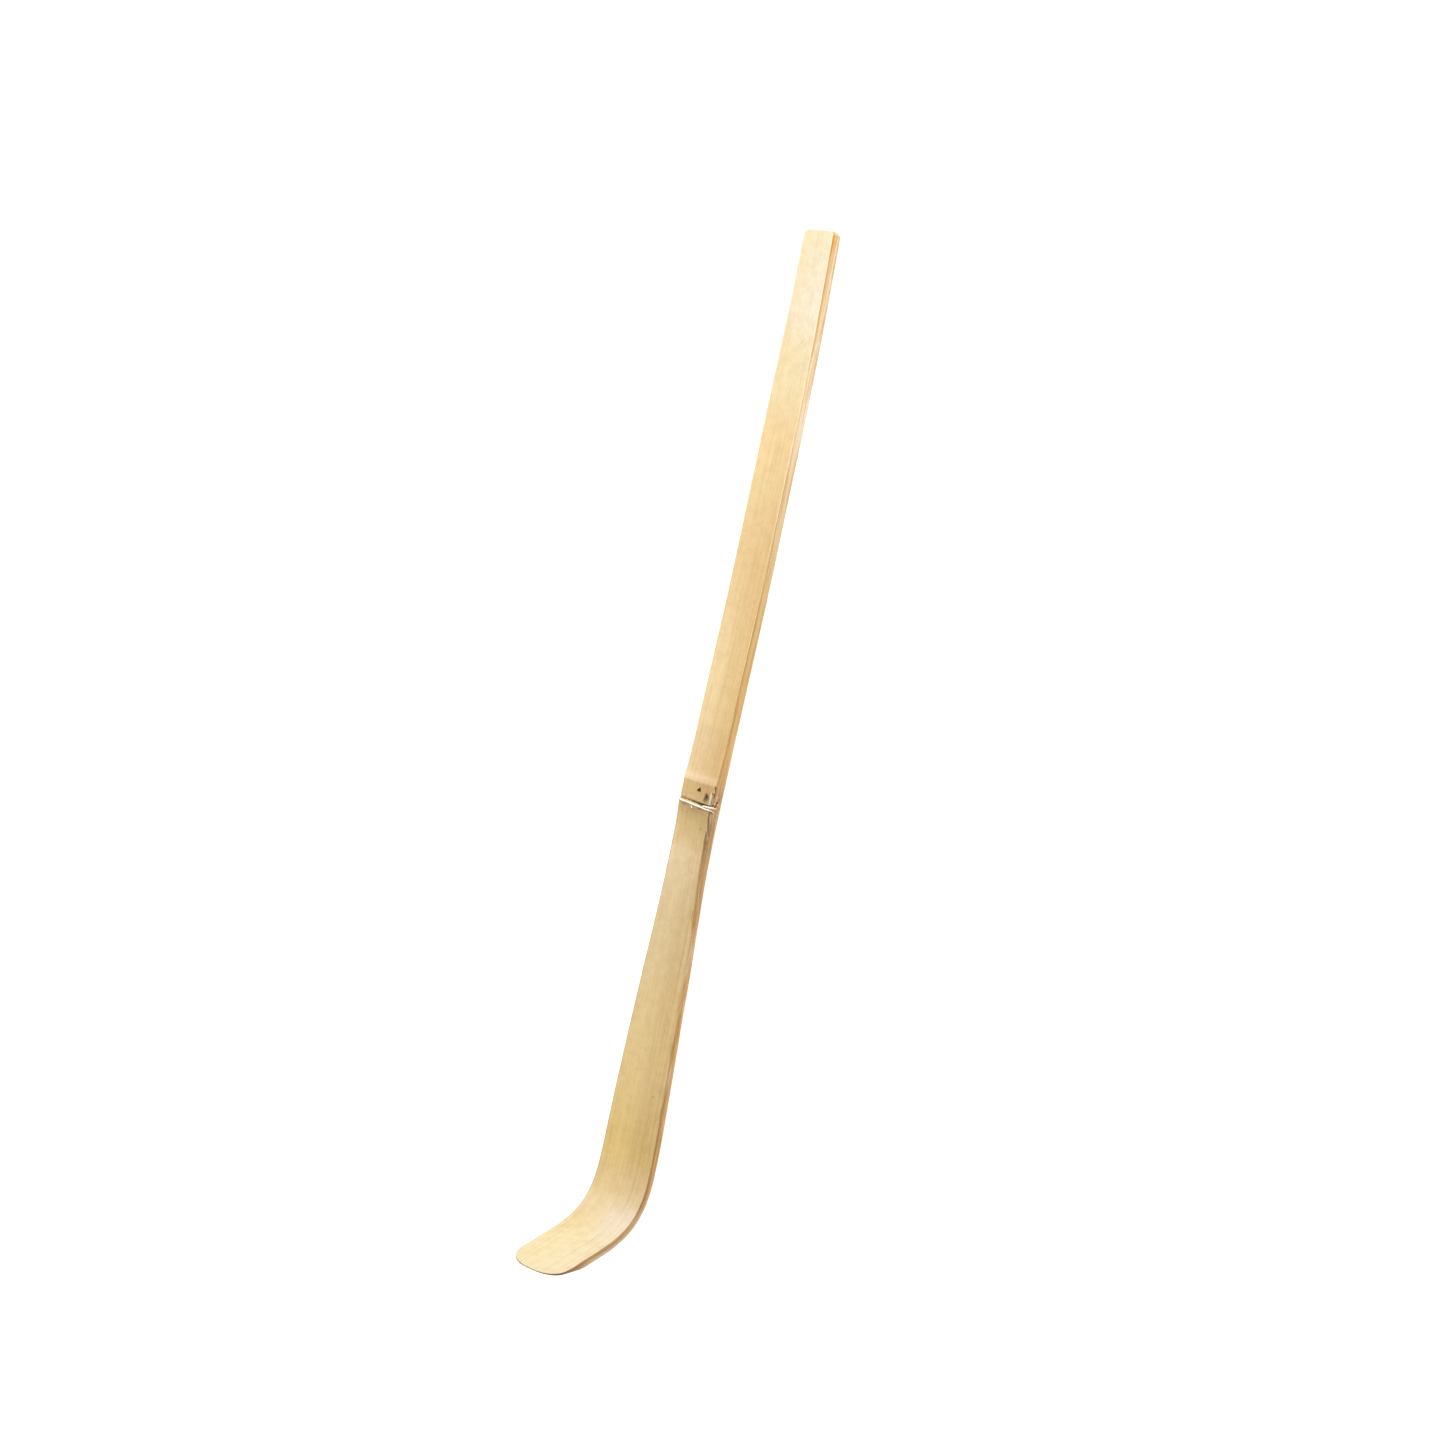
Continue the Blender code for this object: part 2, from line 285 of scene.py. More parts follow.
relief = {
    "crestHeight": 0.42,
    "crestRun": 8.0,
    "crestDrop": 0.11,
    "crestStep": 0.6,
    "scarDepth": 0.225,  # of the groove above the strand, at its middle
    "scarDeepening": -0.105,  # towards +Y
    "scarReach": 0.30,
    "scarPlace": -0.2,  # of the groove, from the scar's middle
    "lipRise": (-0.12, 0.2),  # where the shoulder's lip starts and ends, from the scar's middle
    "shoulderHeight": 0.5,
    # layers of waves, as wavesOver takes them
    "face": ((0.018, 0.07, 2.6, 0), (0.009, 0.3, 5.0, 7)),
    "sides": ((0.045, 0.22, 7.0, 9), (0.027, 0.9, 15.0, 4)),
    "sidesFrom": (0.1, 0.3),  # depths between which the waves of the sides set in
    "back": ((0.012, 0.15, 9.0, 21),),
}
# The painted shade in the groove, a dark line: value at the middle, change towards +Y, and waver as
# wavesAlong takes it.
groove = {
    "reach": (0.17, -0.1, ((0.05, 6, 41),)),
    "place": (0.04, 0.06, ((0.03, 9, 43),)),  # from the groove's middle
    "strength": (0.85, -0.25, ((0.5, 4, 47),)),
    "core": 0.35,  # share of the reach that is darkest
}
crestAt = strip["handleLength"]
scarAt = crestAt + strip["nodeBand"]
lipAt = scarAt + strip["scarWidth"] / 2
shoulderEnd = lipAt + strip["shoulderRun"]
bendAt = scarAt + strip["bladeLength"]
bendEnd = bendAt + strip["bendLength"]
stripLength = bendEnd + strip["tipLength"]

widthStops = (
    (0.0, strip["endWidth"]),
    (strip["fullWidthShare"] * crestAt, strip["handleWidth"]),
    (shoulderEnd, strip["nodeWidth"]),
    ((scarAt + bendAt) / 2, strip["midBladeWidth"]),
    (bendAt, strip["bladeWidth"]),
    (bendEnd, strip["tipWidth"]),
)
thicknessStops = (
    (0.0, strip["endThickness"]),
    (strip["slimShare"] * crestAt, strip["handleThickness"]),
    (scarAt, strip["nodeThickness"]),
    (scarAt + strip["bladeSlimShare"] * strip["bladeLength"], strip["bladeThickness"]),
    (bendAt, strip["bladeThickness"]),
    (bendEnd, strip["tipThickness"]),
)


def bendAngleAt(station):
    t = share(station, bendAt, bendEnd)
    gathered = (1 - strip["bendEvenness"]) * math.sin(2 * math.pi * t) / (2 * math.pi)
    return strip["bendAngle"] * (t - gathered)


def backHeightAt(station):
    curl = strip["endLift"] * (1 - share(station, 0.0, strip["endCurl"])) ** 2
    arch = strip["archRise"] * math.sin(math.pi * share(station, strip["archStart"], bendAt))
    return curl + arch


def layOutBack():
    line = [(0.0, 0.0)]
    steps = math.ceil(stripLength / strip["layoutStep"])
    step = stripLength / steps
    for i in range(steps):
        turned = bendAngleAt((i + 0.5) * step)
        x, z = line[-1]
        line.append((x - step * math.cos(turned), z + step * math.sin(turned)))
    return line, step


backLine, backStep = layOutBack()


def backPoint(station):
    i = min(max(int(station / backStep), 0), len(backLine) - 2)
    (x0, z0), (x1, z1) = backLine[i], backLine[i + 1]
    t = station / backStep - i
    return x0 + t * (x1 - x0), z0 + t * (z1 - z0) + backHeightAt(station)


# How much the back is bevelled away at the tip, from further up at the sides.
def tipRelief(row, v):
    cut = through(thicknessStops, row) - strip["tipEdge"]
    start = stripLength - strip["tipBevel"] * (1 + v * v)
    return cut * share(row, start, stripLength) ** strip["tipBevelPower"]


def fallBackAtEnd(v):
    inside = share(abs(v), 1 - strip["endCornerShare"], 1.0)
    return strip["endSlant"] * (1 + v) / 2 + strip["endCorner"] * (1 - math.sqrt(1 - inside**2))


def fallBackAtTip(v):
    p = strip["tipRoundness"]
    return strip["tipCorner"] * (1 - (1 - min(1.0, abs(v)) ** p) ** (1 / p))


# A row follows the outline of the end nearest it, and the scar's slant.
def stationOf(row, v):
    fromEnd = fallBackAtEnd(v) * (1 - share(row, 0.0, strip["endBlend"])) ** 2
    fromTip = fallBackAtTip(v) * share(row, stripLength - strip["tipBlend"], stripLength) ** 2
    slanted = eased(row, crestAt, scarAt - strip["scarWidth"]) * (1 - eased(row, lipAt, shoulderEnd))
    return row + fromEnd - fromTip - slanted * strip["scarSlant"] * v * strip["nodeWidth"] / 2


handleEndX = cadHigh.x / mm + min(fallBackAtEnd(2 * t - 1) for t in evenShares(101))


# The row's point, in metres, at a distance across and a height above the back.
def pointAt(station, across, height):
    x, z = backPoint(station)
    turned = bendAngleAt(station)
    at = Vector((handleEndX + x + height * math.sin(turned), across, z + height * math.cos(turned)))
    return at * mm


# The swelling above the node, the groove of the sheath scar and the shoulder below it.
def nodeRelief(row, v):
    if row <= crestAt:
        return relief["crestHeight"] * share(row, crestAt - relief["crestRun"], crestAt) ** 2
    band = relief["crestHeight"] - relief["crestDrop"] * eased(row, crestAt, crestAt + relief["crestStep"])
    lipStart, lipTop = (scarAt + place for place in relief["lipRise"])
    height = band + (relief["shoulderHeight"] - band) * eased(row, lipStart, lipTop)
    if row > lipAt:
        height = relief["shoulderHeight"] * (1 - share(row, lipAt, shoulderEnd)) ** 2
    depth = relief["scarDepth"] + relief["scarDeepening"] * v
    return height - depth * bump(row, scarAt + relief["scarPlace"], relief["scarReach"])


# How dark the painted shade in the groove is on the skin: a thin broken line at +Y, wide and nearly black
# at -Y.
def grooveShade(row, v):
    def valueOf(name):
        middle, change, waver = groove[name]
        return middle + change * v + wavesAlong(waver, v)

    reach = valueOf("reach")
    gap = abs(row - (scarAt + relief["scarPlace"] + valueOf("place")))
    return min(1.0, valueOf("strength")) * (1 - eased(gap, reach * groove["core"], reach))


def faceHeight(row, v):
    station = stationOf(row, v)
    crown = strip["crown"] - (strip["crown"] + strip["hollow"]) * eased(station, shoulderEnd, bendEnd)
    ripple = wavesOver(relief["face"], station, v)
    return through(thicknessStops, station) + crown * (1 - v * v) + nodeRelief(row, v) + ripple


# Each crack runs through (station, depth) points on the side at -Y.
cracks = {
    "edgeCrack": {
        "line": ((95.3, 0.05), (96.2, 0.25), (97.3, 0.2)),
        "reach": 0.22,
        "depth": 0.22,
        "shade": 0.9,
    },
    "climbingCrack": {
        "line": ((99.1, 0.5), (98.5, 1.1), (97.8, 1.5)),
        "reach": 0.26,
        "depth": 0.3,
        "shade": 1.0,
    },
    "tornEdge": {
        "line": ((99.4, 0.3), (102.0, 0.45), (105.5, 0.4), (110.0, 0.3)),
        "reach": 0.34,
        "depth": 0.18,
        "shade": 0.36,
    },
}
crackForm = {
    "bend": ((0.12, 1.7, 2.0, 3),),  # waves that bend the line, as wavesOver takes them
    "fullShare": 0.8,  # of the reach, before its raggedness
    "raggedness": ((0.5, 2.3, 11),),
    "leastReach": 0.05,
    "endOpening": 0.4,  # at both ends, and how fast it opens from there
    "opensBy": 4.0,
    "margin": 1.0,
}
crackSpan = (
    min(crack["line"][0][0] for crack in cracks.values()) - crackForm["margin"],
    max(crack["line"][-1][0] for crack in cracks.values()) + crackForm["margin"],
)
# Small chips on the edge at -Y of the blade: station, reach along it, extra radius.
edgeChips = (
    (118.6, 2.4, 0.30),
    (127.2, 1.6, 0.22),
    (134.0, 1.0, 0.14),
    (141.2, 2.8, 0.30),
    (152.4, 1.5, 0.2),
)
# Where a splinter has come off below the node.
brokenEdge = {
    "start": 99.6,
    "startRun": 2.0,
    "end": 119.0,
    "endRun": 1.3,
    "round": 0.42,
    "evenShare": 0.8,
    "raggedness": ((0.3, 0.9, 31),),
}
edgeWaver = ((0.3, 0.4, 5),)  # of the edge's radius, as wavesAlong takes it


# Distance from a point on the side to a crack's line, and where along the line it is nearest.
def nearLine(line, station, depth):
    best, where = 1e9, 0.0
    for i, ((s0, d0), (s1, d1)) in enumerate(zip(line, line[1:])):
        length = (s1 - s0) ** 2 + (d1 - d0) ** 2
        t = min(1.0, max(0.0, ((station - s0) * (s1 - s0) + (depth - d0) * (d1 - d0)) / length))
        gap = math.hypot(station - s0 - t * (s1 - s0), depth - d0 - t * (d1 - d0))
        if gap < best:
            best, where = gap, (i + t) / (len(line) - 1)
    return best, where


# How open the cracks are here, as the strength of the painted shade inside them from 0 to 1, and how deep.
def crackAt(station, depth):
    paintedShade, deepest = 0.0, 0.0
    bent = depth + wavesOver(crackForm["bend"], station, depth)
    ragged = crackForm["fullShare"] + wavesAlong(crackForm["raggedness"], station)
    for crack in cracks.values():
        gap, where = nearLine(crack["line"], station, bent)
        reach = max(crackForm["leastReach"], crack["reach"] * ragged)
        fromEnd = min(where, 1 - where)
        taper = min(1.0, crackForm["endOpening"] + crackForm["opensBy"] * fromEnd)
        openHere = (1 - share(gap, 0.0, reach)) * taper
        paintedShade = max(paintedShade, openHere * crack["shade"])
        deepest = max(deepest, openHere * crack["depth"])
    return paintedShade, deepest


# Radius of the edge between skin and side, larger at the chips and where the splinter came off.
def edgeRoundAt(station, side):
    plain = strip["edgeRound"] * (1 + wavesAlong(edgeWaver, station, side))
    if side > 0:
        return plain
    start, end = brokenEdge["start"], brokenEdge["end"]
    broken = eased(station, start, start + brokenEdge["startRun"])
    broken *= 1 - eased(station, end - brokenEdge["endRun"], end)
    chipped = sum(extra * bump(station, middle, reach) for middle, reach, extra in edgeChips)
    ragged = brokenEdge["evenShare"] + wavesAlong(brokenEdge["raggedness"], station)
    return plain + chipped + broken * (brokenEdge["round"] - plain) * ragged


# The points of one side, from the skin's edge down to the back: (across, height, depth, paintedShade,
# nearPith), where paintedShade is the painted shade inside the cracks.
def sidePoints(row, side):
    station = stationOf(row, side)
    half = through(widthStops, station) / 2
    bevel = endBevelAt(row)
    top = faceHeight(row, side) - bevel
    low = bevel + tipRelief(row, side)
    room = top - low
    edge = min(edgeRoundAt(station, side), strip["mostRound"] * room)
    back = min(strip["backRound"], strip["mostRound"] * room)
    walls, steps = strip["sideWalls"], strip["edgeSteps"]
    turns = [math.pi / 2 * i / steps for i in range(steps + 1)]
    made = [(half - edge * (1 - math.sin(turn)), top - edge * (1 - math.cos(turn))) for turn in turns[1:]]
    made += [(half, top - edge - (room - edge - back) * i / walls) for i in range(1, walls)]
    made += [(half - back * (1 - math.cos(turn)), low + back * (1 - math.sin(turn))) for turn in turns[:-1]]
    points = []
    for across, height in made:
        depth = top - height
        inward = wavesOver(relief["sides"], station, depth, side) * eased(depth, *relief["sidesFrom"])
        paintedShade = 0.0
        if side < 0 and crackSpan[0] < station < crackSpan[1]:
            paintedShade, cutDepth = crackAt(station, depth)
            inward += cutDepth
        points.append((side * (across - inward), height, depth, paintedShade, share(depth, 0.0, room)))
    return points


def endBevelAt(row):
    t = share(row, 0.0, strip["endBevel"])
    return strip["endBevel"] * (1 - math.sqrt(1 - (1 - t) ** 2))


# Skin from +Y to -Y, the side at -Y, the back from -Y to +Y and the side at +Y. Each point is
# (station, across, height, depth, paintedShade, nearPith), where paintedShade is the painted shade
# in the groove on the skin and in the cracks on the side.
def crossSection(row):
    columns = strip["faceColumns"]
    crowding = strip["edgeCrowding"]
    bevel = endBevelAt(row)
    skin, back = [], []
    for t in evenShares(columns + 1):
        v = crowding * math.sin(math.pi * (0.5 - t)) + (1 - crowding) * (1 - 2 * t)
        station = stationOf(row, v)
        half = through(widthStops, station) / 2
        side = 1 if v >= 0 else -1
        top = faceHeight(row, v) - bevel
        low = bevel + tipRelief(row, v)
        room = faceHeight(row, side) - 2 * bevel - tipRelief(row, side)
        edge = min(edgeRoundAt(stationOf(row, side), side), strip["mostRound"] * room)
        rim = min(strip["backRound"], strip["mostRound"] * room)
        planed = abs(wavesOver(relief["back"], station, v))
        skin.append((station, v * (half - edge), top, 0.0, grooveShade(row, v), 0.0))
        back.append((station, v * (half - rim), low + planed, top - low, 0.0, 1.0))
    near = [(stationOf(row, -1), *point) for point in sidePoints(row, -1)]
    far = [(stationOf(row, 1), *point) for point in sidePoints(row, 1)]
    return skin, near[:-1], back[::-1], far[:-1][::-1]


# Runs of rows as (start, end, longest step): closest at both ends and at the node, close in the bend.
rowRuns = (
    (0.0, strip["endBevel"], 0.05),
    (strip["endBevel"], strip["endBlend"], 0.3),
    (strip["endBlend"], crestAt - 9, 0.62),
    (crestAt - 9, crestAt - 1, 0.35),
    (crestAt - 1, lipAt + 1.5, 0.09),
    (lipAt + 1.5, shoulderEnd + 8, 0.3),
    (shoulderEnd + 8, bendAt, 0.6),
    (bendAt, stripLength - strip["tipBevel"], 0.4),
    (stripLength - strip["tipBevel"], stripLength, 0.2),
)


def rowStations():
    rows = [0.0]
    for start, end, longest in rowRuns:
        count = math.ceil((end - start) / longest)
        rows += [start + (end - start) * (i + 1) / count for i in range(count)]
    return rows


def buildStrip(skinFinish, cutFinish):
    shape = bmesh.new()
    placeLayer = shape.verts.layers.float_vector.new("place")
    paintedShadeLayer = shape.verts.layers.float.new("crack")
    pithLayer = shape.verts.layers.float.new("nearPith")

    def addPoint(station, across, height, depth, paintedShade, nearPith):
        vert = shape.verts.new(pointAt(station, across, height))
        vert[placeLayer] = (station, across, depth)
        vert[paintedShadeLayer] = paintedShade
        vert[pithLayer] = nearPith
        return vert

    rings = [[[addPoint(*point) for point in part] for part in crossSection(row)] for row in rowStations()]
    flat = [[vert for part in ring for vert in part] for ring in rings]
    count = len(flat[0])
    for one, two in zip(flat, flat[1:]):
        for j in range(count):
            k = (j + 1) % count
            wall = shape.faces.new((one[j], two[j], two[k], one[k]))
            wall.material_index = 0 if j < strip["faceColumns"] else 1
    for ring, outward in ((rings[0], 1), (rings[-1], -1)):
        skin, near, back, far = ring
        closeEnd(shape, skin, near, back[::-1], far[::-1], outward, placeLayer)
    mesh = meshFrom(shape, "bambooStrip")
    mesh.set_sharp_from_angle(angle=strip["sharpAngle"])
    addPiece("bambooStrip", mesh, (skinFinish, cutFinish), "bamboo", "bamboo_strip")


# A grid over one end of the strip, between the skin's row and the back's, with both sides.
def closeEnd(shape, skin, near, back, far, outward, placeLayer):
    down = len(near) + 1
    grid = [skin]
    for i in range(1, down):
        t = i / down
        line = [far[i - 1]]
        for over, under in list(zip(skin, back))[1:-1]:
            vert = shape.verts.new(over.co.lerp(under.co, t))
            vert[placeLayer] = over[placeLayer].lerp(under[placeLayer], t)
            line.append(vert)
        line.append(near[i - 1])
        grid.append(line)
    grid.append(back)
    for one, two in zip(grid, grid[1:]):
        for j in range(len(skin) - 1):
            cap = shape.faces.new((one[j], one[j + 1], two[j + 1], two[j])[::outward])
            cap.material_index = 1


def newGroup(name, vectors, numbers, told):
    tree = bpy.data.node_groups.new(name, "ShaderNodeTree")
    sockets = (("INPUT", "Vector", vectors), ("INPUT", "Float", numbers), ("OUTPUT", "Float", told))
    for way, kind, labels in sockets:
        for label in labels:
            tree.interface.new_socket(label, in_out=way, socket_type="NodeSocket" + kind)
    return tree, tree.nodes.new("NodeGroupInput").outputs, tree.nodes.new("NodeGroupOutput").inputs


# A node with its links, (input, output socket) pairs, and its plain values set.
def addNode(tree, kind, links=(), **values):
    node = tree.nodes.new(kind)
    for key, value in values.items():
        setattr(node, key, value)
    for slotName, source in links:
        if isinstance(source, bpy.types.NodeSocket):
            tree.links.new(source, node.inputs[slotName])
        else:
            node.inputs[slotName].default_value = source
    return node


def math2(tree, operation, first, second, clamp=False):
    node = addNode(tree, "ShaderNodeMath", ((0, first), (1, second)), operation=operation, use_clamp=clamp)
    return node.outputs[0]


def vector2(tree, operation, first, second):
    node = addNode(tree, "ShaderNodeVectorMath", ((0, first), (1, second)), operation=operation)
    return node.outputs["Vector"]


def product(tree, *factors):
    result = factors[0]
    for factor in factors[1:]:
        result = math2(tree, "MULTIPLY", result, factor)
    return result


# A value about 0.5, moved to be about 0 and scaled.
def swing(tree, value, scale):
    return math2(tree, "MULTIPLY", math2(tree, "SUBTRACT", value, 0.5), scale)


def mixed(tree, amount, first, second, blend="MIX"):
    first, second = (c if isinstance(c, bpy.types.NodeSocket) else (*c, 1.0) for c in (first, second))
    links = ((0, amount), (6, first), (7, second))
    node = addNode(tree, "ShaderNodeMix", links, data_type="RGBA", blend_type=blend, clamp_factor=True)
    return node.outputs[2]


# A smooth step between two limits, with what it gives at each.
def ranged(tree, value, start, end, atStart=0.0, atEnd=1.0):
    limits = (("From Min", start), ("From Max", end), ("To Min", atStart), ("To Max", atEnd))
    node = addNode(tree, "ShaderNodeMapRange", (("Value", value), *limits), interpolation_type="SMOOTHSTEP")
    return node.outputs["Result"]


def noiseIn(tree, at, scale, detail):
    node = addNode(tree, "ShaderNodeTexNoise", (("Vector", at), ("Scale", scale), ("Detail", detail)))
    return node.outputs


grainForm = {
    "broad": (0.6, 0.22, 0.22),  # of the fine streaks' frequency
    "mottle": (1.3, 2.6, 2.6),
    # scale and detail
    "noises": {"Fine": (1.0, 3.0), "Broad": (1.0, 2.0), "Cloud": (0.55, 4.0), "Mottle": (1.0, 3.0)},
}


# Streaks along the fibres, fine and broad, a cloudy tone that follows no direction, and a mottled one.
def makeGrainGroup():
    labels = ("Fine", "Broad", "Cloud", "Mottle")
    tree, given, told = newGroup("lengthwiseGrain", ("Place",), ("Stretch", "Fineness"), labels)
    place, fineness = given["Place"], given["Fineness"]
    parts = addNode(tree, "ShaderNodeSeparateXYZ", (("Vector", place),))
    along = math2(tree, "MULTIPLY", parts.outputs["X"], given["Stretch"])
    across = math2(tree, "MULTIPLY", parts.outputs["Y"], fineness)
    deep = math2(tree, "MULTIPLY", parts.outputs["Z"], fineness)
    fineAt = addNode(tree, "ShaderNodeCombineXYZ", (("X", along), ("Y", across), ("Z", deep))).outputs[0]
    broadAt = vector2(tree, "MULTIPLY", fineAt, grainForm["broad"])
    mottleAt = vector2(tree, "MULTIPLY", place, grainForm["mottle"])
    for label, at in zip(labels, (fineAt, broadAt, place, mottleAt)):
        scale, detail = grainForm["noises"][label]
        tree.links.new(noiseIn(tree, at, scale, detail)["Fac"], told[label])
    return tree


spotForm = {"scale": 4.5, "detail": 3.0, "swing": 4.0}


# A ragged spot on the surface, given by its middle and its half sizes.
def makeSpotGroup():
    numbers = ("Raggedness", "Softness")
    tree, given, told = newGroup("raggedSpot", ("Place", "Middle", "Reach"), numbers, ("Mask",))
    offset = vector2(tree, "SUBTRACT", given["Place"], given["Middle"])
    scaled = vector2(tree, "DIVIDE", offset, given["Reach"])
    rough = noiseIn(tree, given["Place"], spotForm["scale"], spotForm["detail"])["Fac"]
    shift = math2(tree, "MULTIPLY", swing(tree, rough, given["Raggedness"]), spotForm["swing"])
    far = addNode(tree, "ShaderNodeVectorMath", ((0, scaled),), operation="LENGTH").outputs["Value"]
    inner = math2(tree, "SUBTRACT", 1.0, given["Softness"])
    mask = ranged(tree, math2(tree, "ADD", far, shift), inner, 1.0, 1.0, 0.0)
    tree.links.new(mask, told["Mask"])
    return tree


grainGroup = makeGrainGroup()
spotGroup = makeSpotGroup()


# A vertex attribute: place is (station, across, depth), crack and nearPith run from 0 to 1.
def attributeIn(tree, name):
    return addNode(tree, "ShaderNodeAttribute", attribute_name=name).outputs


def placeIn(tree):
    place = attributeIn(tree, "place")["Vector"]
    parts = addNode(tree, "ShaderNodeSeparateXYZ", (("Vector", place),)).outputs
    return place, parts["X"], parts["Y"], parts["Z"]


def grainIn(tree, place, stretch, fineness):
    links = (("Place", place), ("Stretch", stretch), ("Fineness", fineness))
    return addNode(tree, "ShaderNodeGroup", links, node_tree=grainGroup).outputs


def spotIn(tree, place, middle, reach, raggedness, softness):
    links = (("Place", place), ("Middle", middle), ("Reach", reach))
    links += (("Raggedness", raggedness), ("Softness", softness))
    return addNode(tree, "ShaderNodeGroup", links, node_tree=spotGroup).outputs["Mask"]


# A colour ramp with (place, colour) stops.
def rampIn(tree, value, stops):
    node = addNode(tree, "ShaderNodeValToRGB", (("Fac", value),))
    ramp = node.color_ramp
    ramp.interpolation = "EASE"
    while len(ramp.elements) < len(stops):
        ramp.elements.new(1.0)
    for element, (at, colour) in zip(ramp.elements, stops):
        element.position = at
        element.color = (*colour, 1.0)
    return node.outputs["Color"]


# The same with (station, colour) stops, at a share of the strip's length.
def toneIn(tree, along, stops):
    return rampIn(tree, along, [(at / stripLength, colour) for at, colour in stops])


# Marks on the tone. The skin's are given by (station, across), the side's by (station, depth).
def marked(tree, place, tone, marks, onSide):
    for (at, other), (reachAlong, reachOther), colour, raggedness, softness, strength in marks:
        if onSide:
            middle = (at, -strip["nodeWidth"] / 2, other)
            reach = (reachAlong, markReach["side"], reachOther)
        else:
            middle = (at, other, 0.0)
            reach = (reachAlong, reachOther, markReach["skin"])
        mask = spotIn(tree, place, middle, reach, raggedness, softness)
        tone = mixed(tree, math2(tree, "MULTIPLY", mask, strength), tone, colour)
    return tone


def newFinish(name):
    finish = bpy.data.materials.new(name)
    finish.use_nodes = True
    return finish, finish.node_tree, finish.node_tree.nodes["Principled BSDF"]


def setShader(tree, shader, tone, rough, height, depth, constants):
    tree.links.new(tone, shader.inputs["Base Color"])
    tree.links.new(rough, shader.inputs["Roughness"])
    setConstants(shader, constants)
    node = addNode(tree, "ShaderNodeBump", (("Height", height), ("Distance", depth), ("Strength", 1.0)))
    tree.links.new(node.outputs["Normal"], shader.inputs["Normal"])


markReach = {"skin": 10.0, "side": 1.2}  # across the surface that the marks lie on
skin = {
    # tone of the skin at (station, colour); paler towards the handle's end and at the bend and tip, partly
    # the skin's own colour and partly painted light, with a painted highlight on the swelling just above
    # the crest and painted shade on its step down
    "tones": (
        (0.0, (0.72, 0.645, 0.46)), (12.0, (0.70, 0.635, 0.49)), (24.0, (0.67, 0.56, 0.345)),
        (38.0, (0.68, 0.51, 0.265)), (56.0, (0.635, 0.455, 0.22)), (80.0, (0.645, 0.48, 0.245)),
        (93.2, (0.575, 0.41, 0.205)), (94.6, (0.66, 0.50, 0.30)), (95.1, (0.62, 0.46, 0.26)),
        (95.35, (0.47, 0.30, 0.10)), (96.0, (0.49, 0.335, 0.145)), (98.2, (0.50, 0.355, 0.185)),
        (100.0, (0.47, 0.335, 0.15)), (102.5, (0.515, 0.38, 0.175)), (106.3, (0.57, 0.425, 0.215)),
        (107.5, (0.615, 0.475, 0.28)), (120.0, (0.588, 0.458, 0.252)), (145.0, (0.607, 0.46, 0.223)),
        (160.0, (0.585, 0.435, 0.18)), (167.0, (0.585, 0.45, 0.24)), (172.0, (0.58, 0.475, 0.305)),
        (180.0, (0.59, 0.498, 0.296)), (194.0, (0.58, 0.493, 0.294)),
    ),
    # tints of the darker grain, the broad stripes, the mottling and the vessels, the colour of the
    # scratches, and that of the painted shade in the groove
    "darkGrain": (0.80, 0.72, 0.60),
    "stripes": (0.84, 0.80, 0.72),
    "mottle": (0.90, 0.85, 0.74),
    "vessels": (0.76, 0.64, 0.48),
    "scratch": (0.55, 0.36, 0.13),
    "groove": (0.03, 0.022, 0.016),
    # stretch and fineness of the grain
    "grain": (0.035, 3.2),
    "vesselGrain": (0.02, 7.5),
    "waver": 0.5,  # of the tones' borders
    # each smooth step as ranged takes it: its limits, and what it gives at each
    "streakStep": (0.42, 0.72, 0.0, 0.32),
    "vesselAcross": (0.5, -3.0),
    "vesselFrom": (100.0, 125.0),
    "vesselTo": (160.0, 180.0, 1.0, 0.35),
    "vesselStep": (0.5, 0.58, 0.0, 0.8),
    "stripeStep": (0.48, 0.72),
    "stripeAlong": (10.0, 60.0, 0.08, 0.25),
    "cloudStep": (0.35, 0.7, 0.0, 0.3),
    "mottleStep": (0.4, 0.62, 0.0, 0.28),
    "grooveStep": (0.22, 0.6, 0.0, 0.96),
    "grooveFray": 0.8,
    # painted light and shade on the skin towards +Y at (station, tint), and towards -Y: brighter towards +Y
    # along the handle and the blade, and a painted highlight at the bend's edge at -Y
    "paintedLightAndShadeAtPlusY": (
        (0.0, (0.98, 0.93, 0.84)), (14.0, (0.99, 0.94, 0.87)), (28.0, (1.0, 1.0, 0.98)),
        (50.0, (1.0, 1.03, 1.08)), (80.0, (1.05, 1.11, 1.22)), (94.0, (1.08, 1.14, 1.26)),
        (97.0, (1.10, 1.12, 1.08)), (106.0, (1.07, 1.10, 1.17)), (125.0, (1.01, 1.01, 1.02)),
        (163.0, (1.06, 1.05, 1.0)), (175.0, (0.99, 0.95, 0.83)), (186.0, (1.02, 1.01, 1.0)),
    ),
    "paintedLightAndShadeAtMinusY": (
        (0.0, (0.98, 0.98, 1.0)), (20.0, (1.02, 1.02, 1.04)), (45.0, (0.96, 0.95, 0.94)),
        (85.0, (0.93, 0.89, 0.82)), (97.0, (0.95, 0.90, 0.86)), (106.0, (0.96, 0.95, 0.94)),
        (130.0, (0.94, 0.91, 0.86)), (160.0, (0.92, 0.91, 0.90)), (169.0, (0.99, 1.0, 1.06)),
        (176.0, (1.02, 1.07, 1.30)), (183.0, (1.0, 1.01, 1.09)),
    ),
    "brightestPaintedLight": 1.35,
    "paintedLightAcross": (-3.4, 3.2),  # across, from the one tint to the other
    "roughness": (0.3, 0.75, 0.38, 0.50),  # the grain's values, and the roughness at each
    "grainDepth": 0.00002,  # metres
    "constants": {"Specular IOR Level": 0.36, "Coat Weight": 0.05, "Coat Roughness": 0.25},
}
